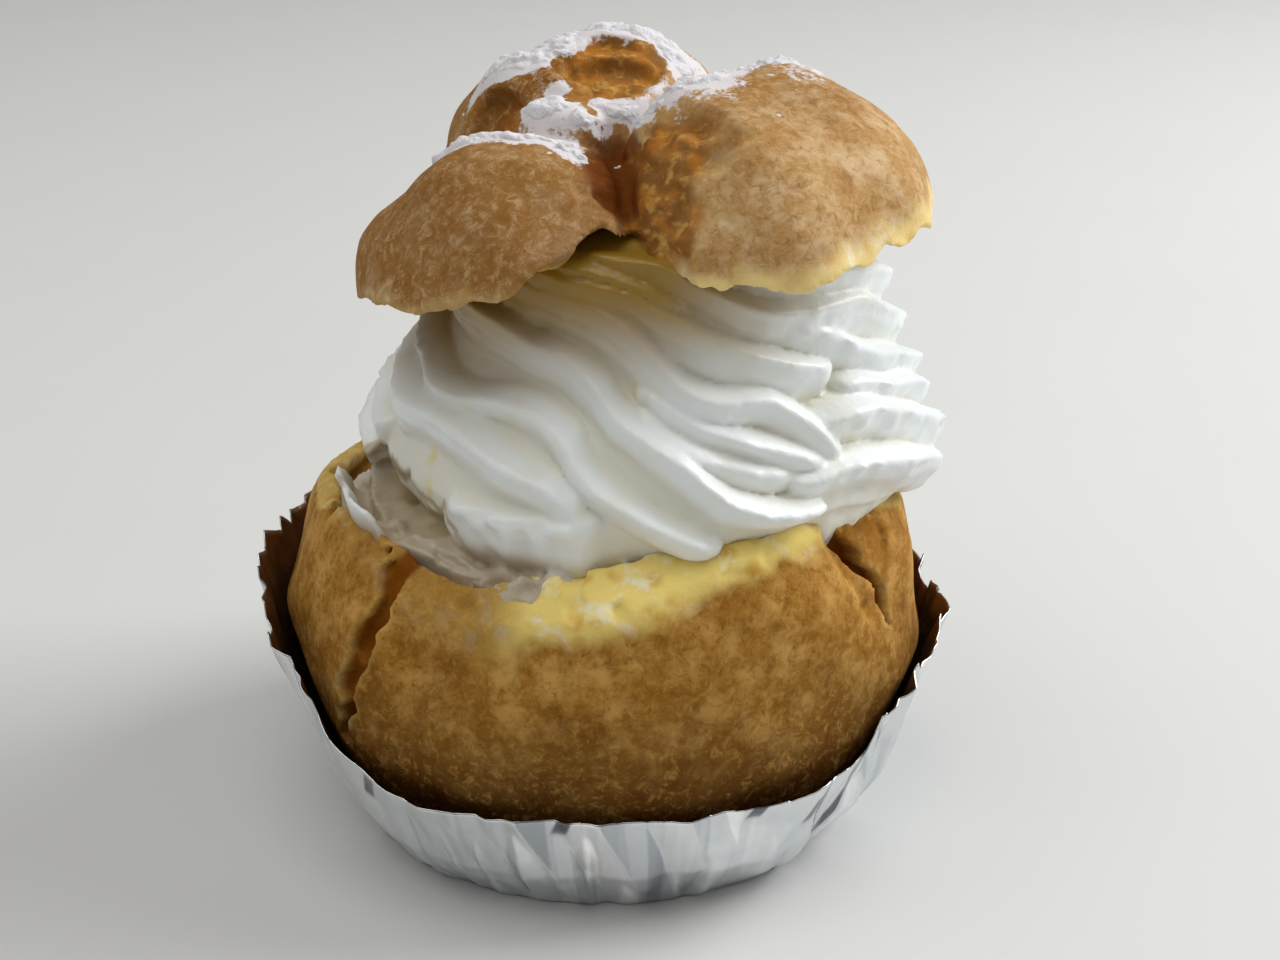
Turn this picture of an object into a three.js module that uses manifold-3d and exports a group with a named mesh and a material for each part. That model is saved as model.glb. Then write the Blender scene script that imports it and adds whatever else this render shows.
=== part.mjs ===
// A cream puff: a choux bun cut open, filled with a piped swirl of whipped cream, its broken lid set
// tilted on the swirl, the whole standing in a pleated foil case.
// Millimetres, +Z up, the front towards -Y, the origin on the table under the middle of the case.
import * as THREE from 'three';
import { mergeVertices } from 'three/addons/utils/BufferGeometryUtils.js';
import Module from 'manifold-3d';

const wasm = await Module();
wasm.setup();

// ---- Driving dimensions -------------------------------------------------------------------------

// Foil case.
const FOIL_FLOOR_RADIUS = 32.4;
const FOIL_RIM_FRONT_RADIUS = 39.7;
const FOIL_RIM_SIDE_RADIUS = 43.2;
const FOIL_WALL = 0.5;
const FOIL_FRONT_HEIGHT = 17;
const FOIL_LEFT_HEIGHT = 31.5;
const FOIL_RIGHT_HEIGHT = 24;
const FOIL_PLEATS = 56;
const FOIL_COLUMNS_PER_PLEAT = 4;
const FOIL_PLEAT_DEPTH = 0.75;
// A fold's strength: its mean and spread, and its least and greatest value.
const FOIL_MEAN_FOLD = 0.8;
const FOIL_FOLD_SPREAD = 0.35;
const FOIL_SHALLOWEST_FOLD = 0.2;
const FOIL_DEEPEST_FOLD = 1.3;
const FOIL_CRUMPLE_LENGTH = 9;
const FOIL_BEND_SHARE = 0.42;
const FOIL_BEND_BULGE = 1.1;
// The rim's teeth: their height, and how much of it follows the folds and how much is ragged.
const FOIL_TOOTH = 1.1;
const FOIL_TOOTH_WITH_FOLD = 0.6;
const FOIL_TOOTH_RAGGED = 0.5;
const FOIL_TOOTH_LENGTH = 4;
// Sine of the directions between which the rim climbs from its low front to the sides.
const FOIL_FRONT_SINE = -0.86;
const FOIL_SIDE_SINE = -0.3;

// Choux base.
const BASE_RADIUS = 40.3;
const BASE_FRONT_FLATTENING = 0.965;
const BASE_WIDEST_HEIGHT = 22;
const BASE_SPAN_ABOVE = 43;
const BASE_SPAN_BELOW = 34.9;
const BASE_UNDERSIDE = 0.85;
const BASE_FOOT_RADIUS = 27;
const BASE_WALL_START = 2.4;
// The left side leans in and the right side stands up by this much between two heights.
const BASE_LEAN = 1.5;
const BASE_LEAN_HEIGHTS = [26, 46];
const BASE_FLOOR_HEIGHT = 8;
const BASE_CAVITY_RADIUS = 28;
const BASE_CAVITY_CORNER = 3;
const BASE_COLUMNS = 80;
const BASE_WALL_ROWS = 8;
const BASE_LUMP = 0.5;
const BASE_LUMP_LENGTH = 17;
// Height of the cut lip, every 30 degrees from +X round by +Y.
const LIP_HEIGHTS = [40.5, 42, 43, 43, 42.5, 41.5, 41, 42.8, 42, 44.3, 46, 45.5];
const LIP_INNER_STEP = 1;
const LIP_INNER_DROP = 1.5;
// The slanting cut face at the lip: its width, how much wider it is at one angle, and how fast that ends.
const BEVEL_WIDTH = 1.2;
const BEVEL_EXTRA_WIDTH = 4.3;
const BEVEL_WIDEST_ANGLE = -106;
const BEVEL_NARROWING = 6;
// The slant's drop, its run, and the run and rise of its rounded shoulder, as shares of its width.
const BEVEL_DROP = 0.8;
const BEVEL_RUN = 0.65;
const SHOULDER_RUN = 0.22;
const SHOULDER_RISE = 0.5;

// Torn cracks in the crust: where each one starts at the lip, and how it runs down.
const CRACKS = [
  { topAngle: -125, lean: -7, top: 50, bottom: 21, width: 3.4, depth: 6, seed: 5 },
  { topAngle: -44, lean: 13, top: 51, bottom: 29, width: 3.2, depth: 6, seed: 8 },
  { topAngle: 74, lean: 6, top: 48, bottom: 26, width: 3, depth: 5.5, seed: 13 },
];
const CRACK_STEPS = 9;
const CRACK_WANDER = 0.5;
const CRACK_TAPER = 0.6;
// A crack's width at each step, as the least share of its named width and a random share on top.
const CRACK_LEAST = 0.8;
const CRACK_SPREAD = 0.5;
const CRACK_TIP = 0.05;
const CRACK_CUT_LENGTH = 14;

// Whipped cream swirl.
const CREAM_AXIS = new THREE.Vector3(6, 1, 0);
const CREAM_FLATTENING = 0.94;
// The swirl leans to the right by this much between two heights.
const CREAM_LEAN = 1.4;
const CREAM_LEAN_HEIGHTS = [50, 62];
const CREAM_TOP = 84;
const CREAM_UNDERSIDE = 6;
const CREAM_PLUG_RADIUS = 27;
const CREAM_PLUG_TOP = 36;
const CREAM_BODY_HEIGHTS = [40, 46, 52, 58, 64, 70, 77];
const CREAM_BODY_COLUMNS = 36;
// Height and crest radius of the swirl.
const CREAM_OUTLINE = [[38, 33], [44, 35.5], [48, 36.4], [52, 35], [56, 33.2], [60, 30.4], [64, 28.6],
  [70, 27.4], [76, 26], [84, 19]];
// Height of the swirl's lower edge, every 30 degrees from +X round by +Y.
const CREAM_SKIRT_HEIGHTS = [38, 40, 41, 41, 41, 40, 38, 37, 39, 42, 45.5, 43];
// The body's rows keep this far above its lower edge, one step more for each row.
const SKIRT_CLEARANCE = 1.5;
const SKIRT_STEP = 0.5;
const RIB_DEPTH = 4.2;
const RIB_HALF_WIDTH = 3.7;
const RIB_UNEVENNESS = 0.08;
const RIB_UNEVEN_LENGTH = 20;
const RIB_DROP_PER_TURN = 74.7;
// A rib drops in this many lazy steps a turn, this much off a steady drop.
const RIB_SWAYS = 4;
const RIB_SWAY = 2.4;
const RIB_SWAY_PHASE = 2;
const RIB_SPACING = 6.3;
const RIB_TOP = 79;
const RIB_STEP = 11.5;
const RIB_LEAST_STEPS = 7;
const RIB_SIDES = 8;
// A rib is rounded off over this share of its length at each end, where its rows stand closer.
const RIB_END_SHARE = 1 / 6;
const RIB_END_CROWDING = 0.5;
// The rope's end laps over its start at this angle, on the front right, and shifts the ribs round it.
const LAP_ANGLE = -43;
const LAP_SHIFT_ANGLES = [LAP_ANGLE - 12, LAP_ANGLE + 8];
// Each rib by its height at the front, some of them starting, ending or shifting at the lap.
const RIBS = [
  { height: 44.6 },
  { height: 48.9 },
  { height: 54.5, halfWidth: 4.1 },
  { height: 61.8, halfWidth: 4.4, shift: -1.8 },
  { height: 65.1, start: LAP_ANGLE - 6 },
  { height: 69, halfWidth: 4.1, end: LAP_ANGLE + 3 },
  { height: 71.1, start: LAP_ANGLE - 2 },
  ...[0, 1, 2, 3, 4, 5, 6].map((step) => ({ height: 75.3 + RIB_SPACING * step })),
];

// Choux lid: the centre and half-widths of each lobe.
const LID_WALL = 4;
const LID_LOBES = {
  body: { centre: [6, 3, 66], half: [32, 29, 16.5] },
  right: { centre: [18, -2, 74], half: [21.3, 25.5, 18.2] },
  left: { centre: [-6, -6, 67], half: [21.8, 21.5, 19.8] },
  rear: { centre: [0, 12, 76], half: [19.5, 19.5, 18.2] },
  middle: { centre: [-4, 0, 80], half: [10, 8, 10] },
};
const LID_HOLLOWS = ['body', 'right', 'left', 'rear'];
const LID_DETAIL = 30;
const HOLLOW_DETAIL = 15;
const LOBE_RINGS_PER_COLUMN = 0.62;
const LOBE_SWELL = 0.03;
const LOBE_SWELL_LENGTH = 15;
// Height of the lid's broken rim, every 30 degrees from +X round by +Y.
const RIM_HEIGHTS = [77.6, 76.4, 75, 74, 71.5, 69, 67.3, 70, 73.4, 74.5, 75.6, 78];
const RIM_RADIUS = 33;
const RIM_RAGGED = 0.7;
const RIM_RAGGED_LENGTH = 5;
// The block that takes off all under the rim: its radius, its floor, and the height of its middle,
// which it reaches on a slope that starts at a radius.
const UNDER_RIM_RADIUS = 60;
const UNDER_RIM_FLOOR = 40;
const UNDER_RIM_MIDDLE = 72;
const UNDER_RIM_SLOPE_RADIUS = 16;
const UNDER_RIM_COLUMNS = 72;
// The torn notch between the two front lobes, seen from the front, and where it is cut from and to.
const NOTCH_OUTLINE = [[1.2, 83.4], [-0.6, 80.8], [-3.8, 77], [-10.2, 73.4], [-10.2, 64], [12, 64],
  [10, 74.2], [6.5, 77.2], [4.7, 78.8], [2.6, 81.8]];
const NOTCH_BACK = -10;
const NOTCH_LENGTH = 26;
// The block that takes the right lobe's left corner off: its sizes, its turn and the middle of its face.
const CORNER_BLOCK = [20, 40, 40];
const CORNER_TURN = 38;
const CORNER_FACE = [6.5, -24, 92];

// Space left between touching pieces.
const GAP = 0.35;

// What starts each run of random numbers.
const SEEDS = { crumple: 11, tooth: 23, crust: 37, lobe: 53, rim: 71, rib: 97 };
// Unevenness is a sum of this many waves, whose pace is a least share plus a random share on top.
const WAVES = 9;
const WAVE_LEAST_PACE = 0.75;
const WAVE_PACE_SPREAD = 0.5;
// Points nearer than this are one point.
const MERGE_DISTANCE = 1e-3;

const TURN = 2 * Math.PI;
const radians = (angle) => THREE.MathUtils.degToRad(angle);

// ---- Shared helpers -----------------------------------------------------------------------------

// The same run of numbers from 0 to 1 for the same seed.
function seededRandom(seed) {
  let state = seed;
  return () => {
    state = (state * 16807) % 2147483647;
    return state / 2147483647;
  };
}

// Smooth unevenness about 1 high: waves of the given length in scattered directions.
function unevenness(seed, wavelength) {
  const random = seededRandom(seed);
  const waves = [];
  for (let i = 0; i < WAVES; i += 1) {
    const turn = TURN * random();
    const rise = 2 * random() - 1;
    const level = Math.sqrt(1 - rise * rise);
    const pace = (TURN / wavelength) * (WAVE_LEAST_PACE + WAVE_PACE_SPREAD * random());
    const phase = TURN * random();
    waves.push([pace * level * Math.cos(turn), pace * level * Math.sin(turn), pace * rise, phase]);
  }
  return (x, y, z) => {
    let sum = 0;
    for (const [kx, ky, kz, phase] of waves) sum += Math.sin(kx * x + ky * y + kz * z + phase);
    return sum / 3;
  };
}

// A value round the axis from values evenly spaced round a turn, on a smooth closed curve.
function roundTheAxis(values) {
  const count = values.length;
  return (angle) => {
    const place = (((angle / TURN) % 1) + 1) % 1 * count;
    const i = Math.floor(place);
    const t = place - i;
    const [a, b, c, d] = [-1, 0, 1, 2].map((step) => values[(i + step + count) % count]);
    return b + 0.5 * t * (c - a + t * (2 * a - 5 * b + 4 * c - d + t * (3 * (b - c) + d - a)));
  };
}

// Straight-line value between [place, value] pairs in rising order.
function between(pairs, place) {
  const last = pairs[pairs.length - 1];
  if (place <= pairs[0][0]) return pairs[0][1];
  if (place >= last[0]) return last[1];
  const i = pairs.findIndex(([at]) => at > place);
  const [[x0, y0], [x1, y1]] = [pairs[i - 1], pairs[i]];
  return y0 + (y1 - y0) * (place - x0) / (x1 - x0);
}

// A closed skin from a grid of rows that run round it. `place` turns an angle and a row into a point;
// every angle of the first row is one point, and so is every angle of the last.
function closedSkin(columns, rows, place) {
  const profile = [];
  for (let row = 0; row < rows; row += 1) {
    const atEnd = row === 0 || row === rows - 1;
    profile.push(new THREE.Vector2(atEnd ? 0 : 1, row));
  }
  const geometry = new THREE.LatheGeometry(profile, columns);
  const position = geometry.attributes.position;
  for (let i = 0; i < position.count; i += 1) {
    const row = i % rows;
    const atEnd = row === 0 || row === rows - 1;
    const column = atEnd ? 0 : Math.floor(i / rows) % columns;
    position.setXYZ(i, ...place(TURN * column / columns, row));
  }
  return geometry;
}

// A closed skin round the Z axis. `profile` turns an angle into a list of [radius, height] that starts
// and ends on the axis.
function revolve(columns, profile) {
  const profiles = [];
  for (let column = 0; column < columns; column += 1) profiles.push(profile(TURN * column / columns));
  return closedSkin(columns, profiles[0].length, (angle, row) => {
    const [radius, height] = profiles[Math.round(angle / TURN * columns)][row];
    return [radius * Math.cos(angle), radius * Math.sin(angle), height];
  });
}

// A straight block with an outline, along +Z.
function throughCut(outline, length) {
  return new THREE.ExtrudeGeometry(outline, { depth: length, bevelEnabled: false, steps: 1 });
}

function toSolid(geometry) {
  const bare = geometry.clone();
  bare.deleteAttribute('normal');
  bare.deleteAttribute('uv');
  const merged = mergeVertices(bare, MERGE_DISTANCE);
  return new wasm.Manifold(new wasm.Mesh({
    numProp: 3,
    vertProperties: new Float32Array(merged.attributes.position.array),
    triVerts: new Uint32Array(merged.index.array),
  }));
}

function toGeometry(solid) {
  const { vertProperties, triVerts } = solid.getMesh();
  const geometry = new THREE.BufferGeometry();
  geometry.setAttribute('position', new THREE.BufferAttribute(vertProperties, 3));
  geometry.setIndex(new THREE.BufferAttribute(triVerts, 1));
  geometry.computeVertexNormals();
  return geometry;
}

// The biggest piece of a cut solid, without the scraps that the cut leaves.
function largestPiece(solid) {
  return solid.decompose().reduce((a, b) => (a.volume() > b.volume() ? a : b));
}

// ---- Foil case ----------------------------------------------------------------------------------

// How far a direction is turned from the low front of the case: 0 at the front, 1 at sides and back.
function awayFromFront(angle) {
  return THREE.MathUtils.smoothstep(Math.sin(angle), FOIL_FRONT_SINE, FOIL_SIDE_SINE);
}

function foilRimHeight(angle) {
  const rise = (FOIL_LEFT_HEIGHT + FOIL_RIGHT_HEIGHT) / 2 - FOIL_FRONT_HEIGHT
    - Math.cos(angle) * (FOIL_LEFT_HEIGHT - FOIL_RIGHT_HEIGHT) / 2;
  return FOIL_FRONT_HEIGHT + rise * awayFromFront(angle);
}

// Middle of the foil's wall, without its pleats, at a share of the way up from floor to rim.
function foilRadius(angle, share) {
  const rimRadius = (FOIL_RIM_SIDE_RADIUS + FOIL_RIM_FRONT_RADIUS) / 2
    + Math.cos(2 * angle) * (FOIL_RIM_SIDE_RADIUS - FOIL_RIM_FRONT_RADIUS) / 2;
  const bendRadius = FOIL_FLOOR_RADIUS + (rimRadius - FOIL_FLOOR_RADIUS) * FOIL_BEND_SHARE + FOIL_BEND_BULGE;
  return between([[0, FOIL_FLOOR_RADIUS], [FOIL_BEND_SHARE, bendRadius], [1, rimRadius]], share);
}

// Room inside the case at a height, clear of the deepest pleats.
function roomInFoil(angle, height) {
  const share = THREE.MathUtils.clamp(height / foilRimHeight(angle), 0, 1);
  return foilRadius(angle, share) - FOIL_PLEAT_DEPTH * FOIL_DEEPEST_FOLD - FOIL_WALL / 2 - GAP;
}

function foilCase() {
  const crumple = unevenness(SEEDS.crumple, FOIL_CRUMPLE_LENGTH);
  const tooth = unevenness(SEEDS.tooth, FOIL_TOOTH_LENGTH);
  return revolve(FOIL_PLEATS * FOIL_COLUMNS_PER_PLEAT, (angle) => {
    const x = FOIL_RIM_SIDE_RADIUS * Math.cos(angle);
    const y = FOIL_RIM_SIDE_RADIUS * Math.sin(angle);
    const uneven = FOIL_MEAN_FOLD + FOIL_FOLD_SPREAD * crumple(x, y, 0);
    const strength = THREE.MathUtils.clamp(uneven, FOIL_SHALLOWEST_FOLD, FOIL_DEEPEST_FOLD);
    const fold = strength * Math.cos(FOIL_PLEATS * angle);
    const ragged = FOIL_TOOTH_WITH_FOLD * fold + FOIL_TOOTH_RAGGED * tooth(x, y, 0);
    const rim = foilRimHeight(angle) + FOIL_TOOTH * ragged;
    // A point of the sheet by its share of the way up: outwards is 1 on the outer skin, -1 inside.
    const place = (share, outwards) => {
      const radius = foilRadius(angle, share) + FOIL_PLEAT_DEPTH * fold * Math.sqrt(share);
      const floor = outwards > 0 ? 0 : FOIL_WALL;
      return [radius + outwards * FOIL_WALL / 2, floor + (rim - floor) * share];
    };
    const outside = [0, FOIL_BEND_SHARE, 1].map((share) => place(share, 1));
    const inside = [1, FOIL_BEND_SHARE, 0].map((share) => place(share, -1));
    return [[0, 0], ...outside, ...inside, [0, FOIL_WALL]];
  });
}

// ---- Choux base ---------------------------------------------------------------------------------

const lipHeight = roundTheAxis(LIP_HEIGHTS);

// Width of the slanting cut face at the lip, widest at the front left.
function lipBevel(angle) {
  const nearWidest = Math.max(0, Math.cos(angle - radians(BEVEL_WIDEST_ANGLE)));
  return BEVEL_WIDTH + BEVEL_EXTRA_WIDTH * nearWidest ** BEVEL_NARROWING;
}

function baseRadius(angle, height) {
  const span = height > BASE_WIDEST_HEIGHT ? BASE_SPAN_ABOVE : BASE_SPAN_BELOW;
  const slope = (height - BASE_WIDEST_HEIGHT) / span;
  const front = 1 - (1 - BASE_FRONT_FLATTENING) * Math.sin(angle) ** 2;
  const lean = BASE_LEAN * Math.cos(angle) * THREE.MathUtils.smoothstep(height, ...BASE_LEAN_HEIGHTS);
  return BASE_RADIUS * front * Math.sqrt(1 - slope * slope) + lean;
}

// The bun without its cracks, every surface moved out by `grow`.
function bunWithCavity(grow) {
  const lump = unevenness(SEEDS.crust, BASE_LUMP_LENGTH);
  return revolve(BASE_COLUMNS, (angle) => {
    const lip = lipHeight(angle);
    const bevel = lipBevel(angle);
    const top = lip - bevel * BEVEL_DROP;
    const wall = (height) => {
      const free = baseRadius(angle, height);
      const uneven = free + BASE_LUMP * lump(free * Math.cos(angle), free * Math.sin(angle), height);
      const held = height < foilRimHeight(angle) + 2 * FOIL_TOOTH;
      return (held ? Math.min(uneven, roomInFoil(angle, height)) : uneven) + grow;
    };
    const outside = [];
    for (let row = 0; row <= BASE_WALL_ROWS; row += 1) {
      const height = BASE_WALL_START + (top - BASE_WALL_START) * row / BASE_WALL_ROWS;
      outside.push([wall(height), height]);
    }
    return [
      [0, BASE_UNDERSIDE - grow],
      [BASE_FOOT_RADIUS, BASE_UNDERSIDE - grow],
      ...outside,
      [wall(top) - bevel * SHOULDER_RUN, top + bevel * SHOULDER_RISE + grow],
      [wall(top) - bevel * BEVEL_RUN, lip + grow],
      [BASE_CAVITY_RADIUS + LIP_INNER_STEP - grow, lip - LIP_INNER_DROP + grow],
      [BASE_CAVITY_RADIUS - BASE_CAVITY_CORNER - grow, BASE_FLOOR_HEIGHT + BASE_CAVITY_CORNER + grow],
      [0, BASE_FLOOR_HEIGHT + grow],
    ];
  });
}

// A torn crack from the lip down the crust: a jagged wedge that reaches into the wall, not through it.
function crack({ topAngle, lean, top, bottom, width, depth, seed }) {
  const random = seededRandom(seed);
  const left = [];
  const right = [];
  for (let step = 0; step <= CRACK_STEPS; step += 1) {
    const share = step / CRACK_STEPS;
    const height = top + (bottom - top) * share;
    const middle = lean * share + (random() - 0.5) * width * CRACK_WANDER;
    const ragged = CRACK_LEAST + CRACK_SPREAD * random();
    const half = 0.5 * width * (1 - share) ** CRACK_TAPER * ragged + CRACK_TIP;
    left.push(new THREE.Vector2(middle - half, height));
    right.unshift(new THREE.Vector2(middle + half, height));
  }
  const outline = new THREE.Shape([...left, ...right]);
  const geometry = throughCut(outline, CRACK_CUT_LENGTH);
  // The outline's x runs along the crust and its y upwards; the extrusion runs outwards.
  geometry.rotateX(Math.PI / 2);
  geometry.rotateZ(Math.PI / 2);
  geometry.translate(BASE_RADIUS - depth, 0, 0);
  geometry.rotateZ(radians(topAngle));
  return toSolid(geometry);
}

function chouxBase(grow = 0) {
  const bun = toSolid(bunWithCavity(grow));
  if (grow) return bun;
  return largestPiece(CRACKS.reduce((solid, place) => solid.subtract(crack(place)), bun));
}

// ---- Whipped cream ------------------------------------------------------------------------------

const creamSkirtHeight = roundTheAxis(CREAM_SKIRT_HEIGHTS);

// How far a rib has dropped by this angle: steadily round the turn, in lazy steps.
function ribDrop(angle) {
  const fromFront = angle + 90;
  const sway = Math.sin(radians(RIB_SWAYS * (fromFront + RIB_SWAY_PHASE)));
  return RIB_DROP_PER_TURN * fromFront / 360 + RIB_SWAY * sway;
}

// Middle of a rib at an angle in degrees: how high it runs.
function ribMiddle({ height, shift = 0 }, angle) {
  const lapped = THREE.MathUtils.smoothstep(angle, ...LAP_SHIFT_ANGLES);
  return height + shift * lapped - ribDrop(angle);
}

// The angles between which a rib shows: from the top of the swirl, or its start, down to the skirt.
function ribReach(rib) {
  let start = -90;
  let end = -90;
  while (ribMiddle(rib, start) < RIB_TOP) start -= 1;
  while (ribMiddle(rib, start) > RIB_TOP) start += 1;
  while (ribMiddle(rib, end) > creamSkirtHeight(radians(end))) end += 1;
  while (ribMiddle(rib, end) < creamSkirtHeight(radians(end))) end -= 1;
  return [Math.max(start, rib.start ?? start), Math.min(end, rib.end ?? end)];
}

function creamLean(height) {
  return CREAM_LEAN * THREE.MathUtils.smoothstep(height, ...CREAM_LEAN_HEIGHTS);
}

function ribPoint(rib, angle) {
  const height = ribMiddle(rib, angle);
  const radius = between(CREAM_OUTLINE, height) - RIB_DEPTH;
  const x = radius * Math.cos(radians(angle)) + creamLean(height);
  return new THREE.Vector3(x, radius * Math.sin(radians(angle)), height);
}

// One rib: an oval rope laid down the swirl, rounded off at both ends.
function ribSolid(rib) {
  const [start, end] = ribReach(rib);
  const rows = Math.max(RIB_LEAST_STEPS, Math.round((end - start) / RIB_STEP)) + 1;
  const halfWidth = rib.halfWidth ?? RIB_HALF_WIDTH;
  const uneven = unevenness(Math.round(SEEDS.rib + 10 * rib.height), RIB_UNEVEN_LENGTH);
  const geometry = closedSkin(RIB_SIDES, rows, (turn, row) => {
    const share = row / (rows - 1);
    const crowded = share - RIB_END_CROWDING * Math.sin(TURN * share) / TURN;
    const angle = start + (end - start) * crowded;
    const middle = ribPoint(rib, angle);
    const along = ribPoint(rib, angle + 1).sub(middle).normalize();
    const out = new THREE.Vector3(Math.cos(radians(angle)), Math.sin(radians(angle)), 0);
    const across = new THREE.Vector3().crossVectors(along, out).normalize();
    const ends = Math.sqrt(Math.min(1, share / RIB_END_SHARE, (1 - share) / RIB_END_SHARE));
    const size = ends * (1 + RIB_UNEVENNESS * uneven(middle.x, middle.y, middle.z));
    middle.addScaledVector(out, RIB_DEPTH * size * Math.cos(turn));
    middle.addScaledVector(across, halfWidth * size * Math.sin(turn));
    return middle.toArray();
  });
  return toSolid(geometry);
}

// What the ribs are laid on: a plug that fills the bun, and the swirl's body up to its top.
function creamBody() {
  return revolve(CREAM_BODY_COLUMNS, (angle) => {
    const skirt = creamSkirtHeight(angle) + SKIRT_CLEARANCE;
    const body = CREAM_BODY_HEIGHTS.map((height, row) => (
      [between(CREAM_OUTLINE, height) - RIB_DEPTH, Math.max(height, skirt + SKIRT_STEP * row)]
    ));
    return [
      [0, CREAM_UNDERSIDE],
      [CREAM_PLUG_RADIUS, CREAM_UNDERSIDE],
      [CREAM_PLUG_RADIUS, CREAM_PLUG_TOP],
      ...body,
      [0, CREAM_TOP],
    ];
  });
}

function whippedCream() {
  const body = toSolid(creamBody());
  const swirl = RIBS.reduce((solid, rib) => solid.add(ribSolid(rib)), body)
    .scale([1, CREAM_FLATTENING, 1])
    .translate(CREAM_AXIS.toArray());
  const held = chouxBase(GAP).add(chouxLid(GAP));
  return largestPiece(swirl.subtract(held));
}

// ---- Choux lid ----------------------------------------------------------------------------------

const rimHeight = roundTheAxis(RIM_HEIGHTS);

// One lobe of the lid, its half-widths changed by `grow`.
function lobe({ centre, half }, grow, detail, lump) {
  const geometry = new THREE.SphereGeometry(1, detail, Math.round(detail * LOBE_RINGS_PER_COLUMN));
  geometry.rotateX(Math.PI / 2);
  geometry.scale(...half.map((size) => size + grow));
  geometry.translate(...centre);
  const position = geometry.attributes.position;
  const point = new THREE.Vector3();
  const middle = new THREE.Vector3(...centre);
  for (let i = 0; i < position.count; i += 1) {
    point.fromBufferAttribute(position, i);
    const swell = lump(point.x, point.y, point.z);
    point.sub(middle).multiplyScalar(1 + LOBE_SWELL * swell).add(middle);
    position.setXYZ(i, point.x, point.y, point.z);
  }
  return toSolid(geometry);
}

// Everything under the lid's broken rim.
function belowRim(grow) {
  const ragged = unevenness(SEEDS.rim, RIM_RAGGED_LENGTH);
  const geometry = revolve(UNDER_RIM_COLUMNS, (angle) => {
    const x = RIM_RADIUS * Math.cos(angle);
    const y = RIM_RADIUS * Math.sin(angle);
    const height = rimHeight(angle) + RIM_RAGGED * ragged(x, y, 0) - grow;
    return [
      [0, UNDER_RIM_FLOOR],
      [UNDER_RIM_RADIUS, UNDER_RIM_FLOOR],
      [UNDER_RIM_RADIUS, height],
      [UNDER_RIM_SLOPE_RADIUS, height],
      [0, UNDER_RIM_MIDDLE],
    ];
  });
  geometry.translate(CREAM_AXIS.x, CREAM_AXIS.y, 0);
  return toSolid(geometry);
}

// The torn notch between the two front lobes, cut through the front wall.
function frontNotch() {
  const outline = new THREE.Shape(NOTCH_OUTLINE.map(([x, z]) => new THREE.Vector2(x, z)));
  const geometry = throughCut(outline, NOTCH_LENGTH);
  geometry.rotateX(Math.PI / 2);
  geometry.translate(0, NOTCH_BACK, 0);
  return toSolid(geometry);
}

// The broken left face of the right lobe: a block turned so that it takes the lobe's corner off.
function brokenFace() {
  const geometry = new THREE.BoxGeometry(...CORNER_BLOCK, 2, 4, 4);
  geometry.translate(-CORNER_BLOCK[0] / 2, 0, 0);
  geometry.rotateZ(radians(CORNER_TURN));
  geometry.translate(...CORNER_FACE);
  return toSolid(geometry);
}

function chouxLid(grow = 0) {
  const lump = unevenness(SEEDS.lobe, LOBE_SWELL_LENGTH);
  const solids = Object.fromEntries(
    Object.entries(LID_LOBES).map(([name, place]) => [name, lobe(place, grow, LID_DETAIL, lump)]),
  );
  if (!grow) solids.right = solids.right.subtract(brokenFace());
  const outside = Object.values(solids).reduce((a, b) => a.add(b));
  const hollow = LID_HOLLOWS.map((name) => lobe(LID_LOBES[name], -LID_WALL - grow, HOLLOW_DETAIL, lump))
    .reduce((a, b) => a.add(b));
  const shell = outside.subtract(hollow.add(belowRim(grow)));
  return largestPiece(grow ? shell : shell.subtract(frontNotch()));
}

// ---- Assembly -----------------------------------------------------------------------------------

function piece(name, geometry, material) {
  const mesh = new THREE.Mesh(geometry, new THREE.MeshStandardMaterial(material));
  mesh.name = name;
  return mesh;
}

const creamPuff = new THREE.Group();
creamPuff.add(
  piece('foil_case', foilCase(), { color: 0xc9ccce, roughness: 0.35, metalness: 0.9 }),
  piece('choux_base', toGeometry(chouxBase()), { color: 0xb98a4c, roughness: 0.65, metalness: 0 }),
  piece('whipped_cream', toGeometry(whippedCream()), { color: 0xf4f2ea, roughness: 0.5, metalness: 0 }),
  piece('choux_lid', toGeometry(chouxLid()), { color: 0xb98a55, roughness: 0.65, metalness: 0 }),
);

export default creamPuff;
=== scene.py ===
"""A cream puff in its foil case: the finished surfaces, the light and the camera.

Sizes are in millimetres until a mesh is made. +Z is up and the front is towards -Y. Angles go
round from +X by +Y, so the front is at -90 degrees. Each piece is the skin of a field, which is
below zero inside the piece, apart from the foil, which is one pleated sheet. The first number given
to grain, lumps, line_grain, facets or unevenness is its seed.
"""
import math
from functools import reduce

import bmesh
import bpy
import numpy as np
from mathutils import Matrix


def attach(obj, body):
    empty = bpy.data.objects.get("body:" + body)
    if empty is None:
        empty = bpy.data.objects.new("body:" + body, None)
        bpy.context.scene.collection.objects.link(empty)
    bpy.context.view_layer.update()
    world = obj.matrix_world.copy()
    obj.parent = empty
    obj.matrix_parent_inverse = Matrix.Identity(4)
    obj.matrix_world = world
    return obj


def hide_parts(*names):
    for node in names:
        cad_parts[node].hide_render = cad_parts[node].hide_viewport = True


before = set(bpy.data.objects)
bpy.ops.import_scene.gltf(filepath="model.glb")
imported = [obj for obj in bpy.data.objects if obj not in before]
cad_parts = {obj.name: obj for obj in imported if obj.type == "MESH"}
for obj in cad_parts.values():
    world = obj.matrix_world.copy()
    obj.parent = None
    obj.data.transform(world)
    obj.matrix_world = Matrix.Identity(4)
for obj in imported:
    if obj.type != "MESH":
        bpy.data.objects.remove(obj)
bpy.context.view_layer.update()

import openvdb
from mathutils import Vector

MM = 0.001
TURN = 2 * math.pi
COARSE = 1.0
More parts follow.
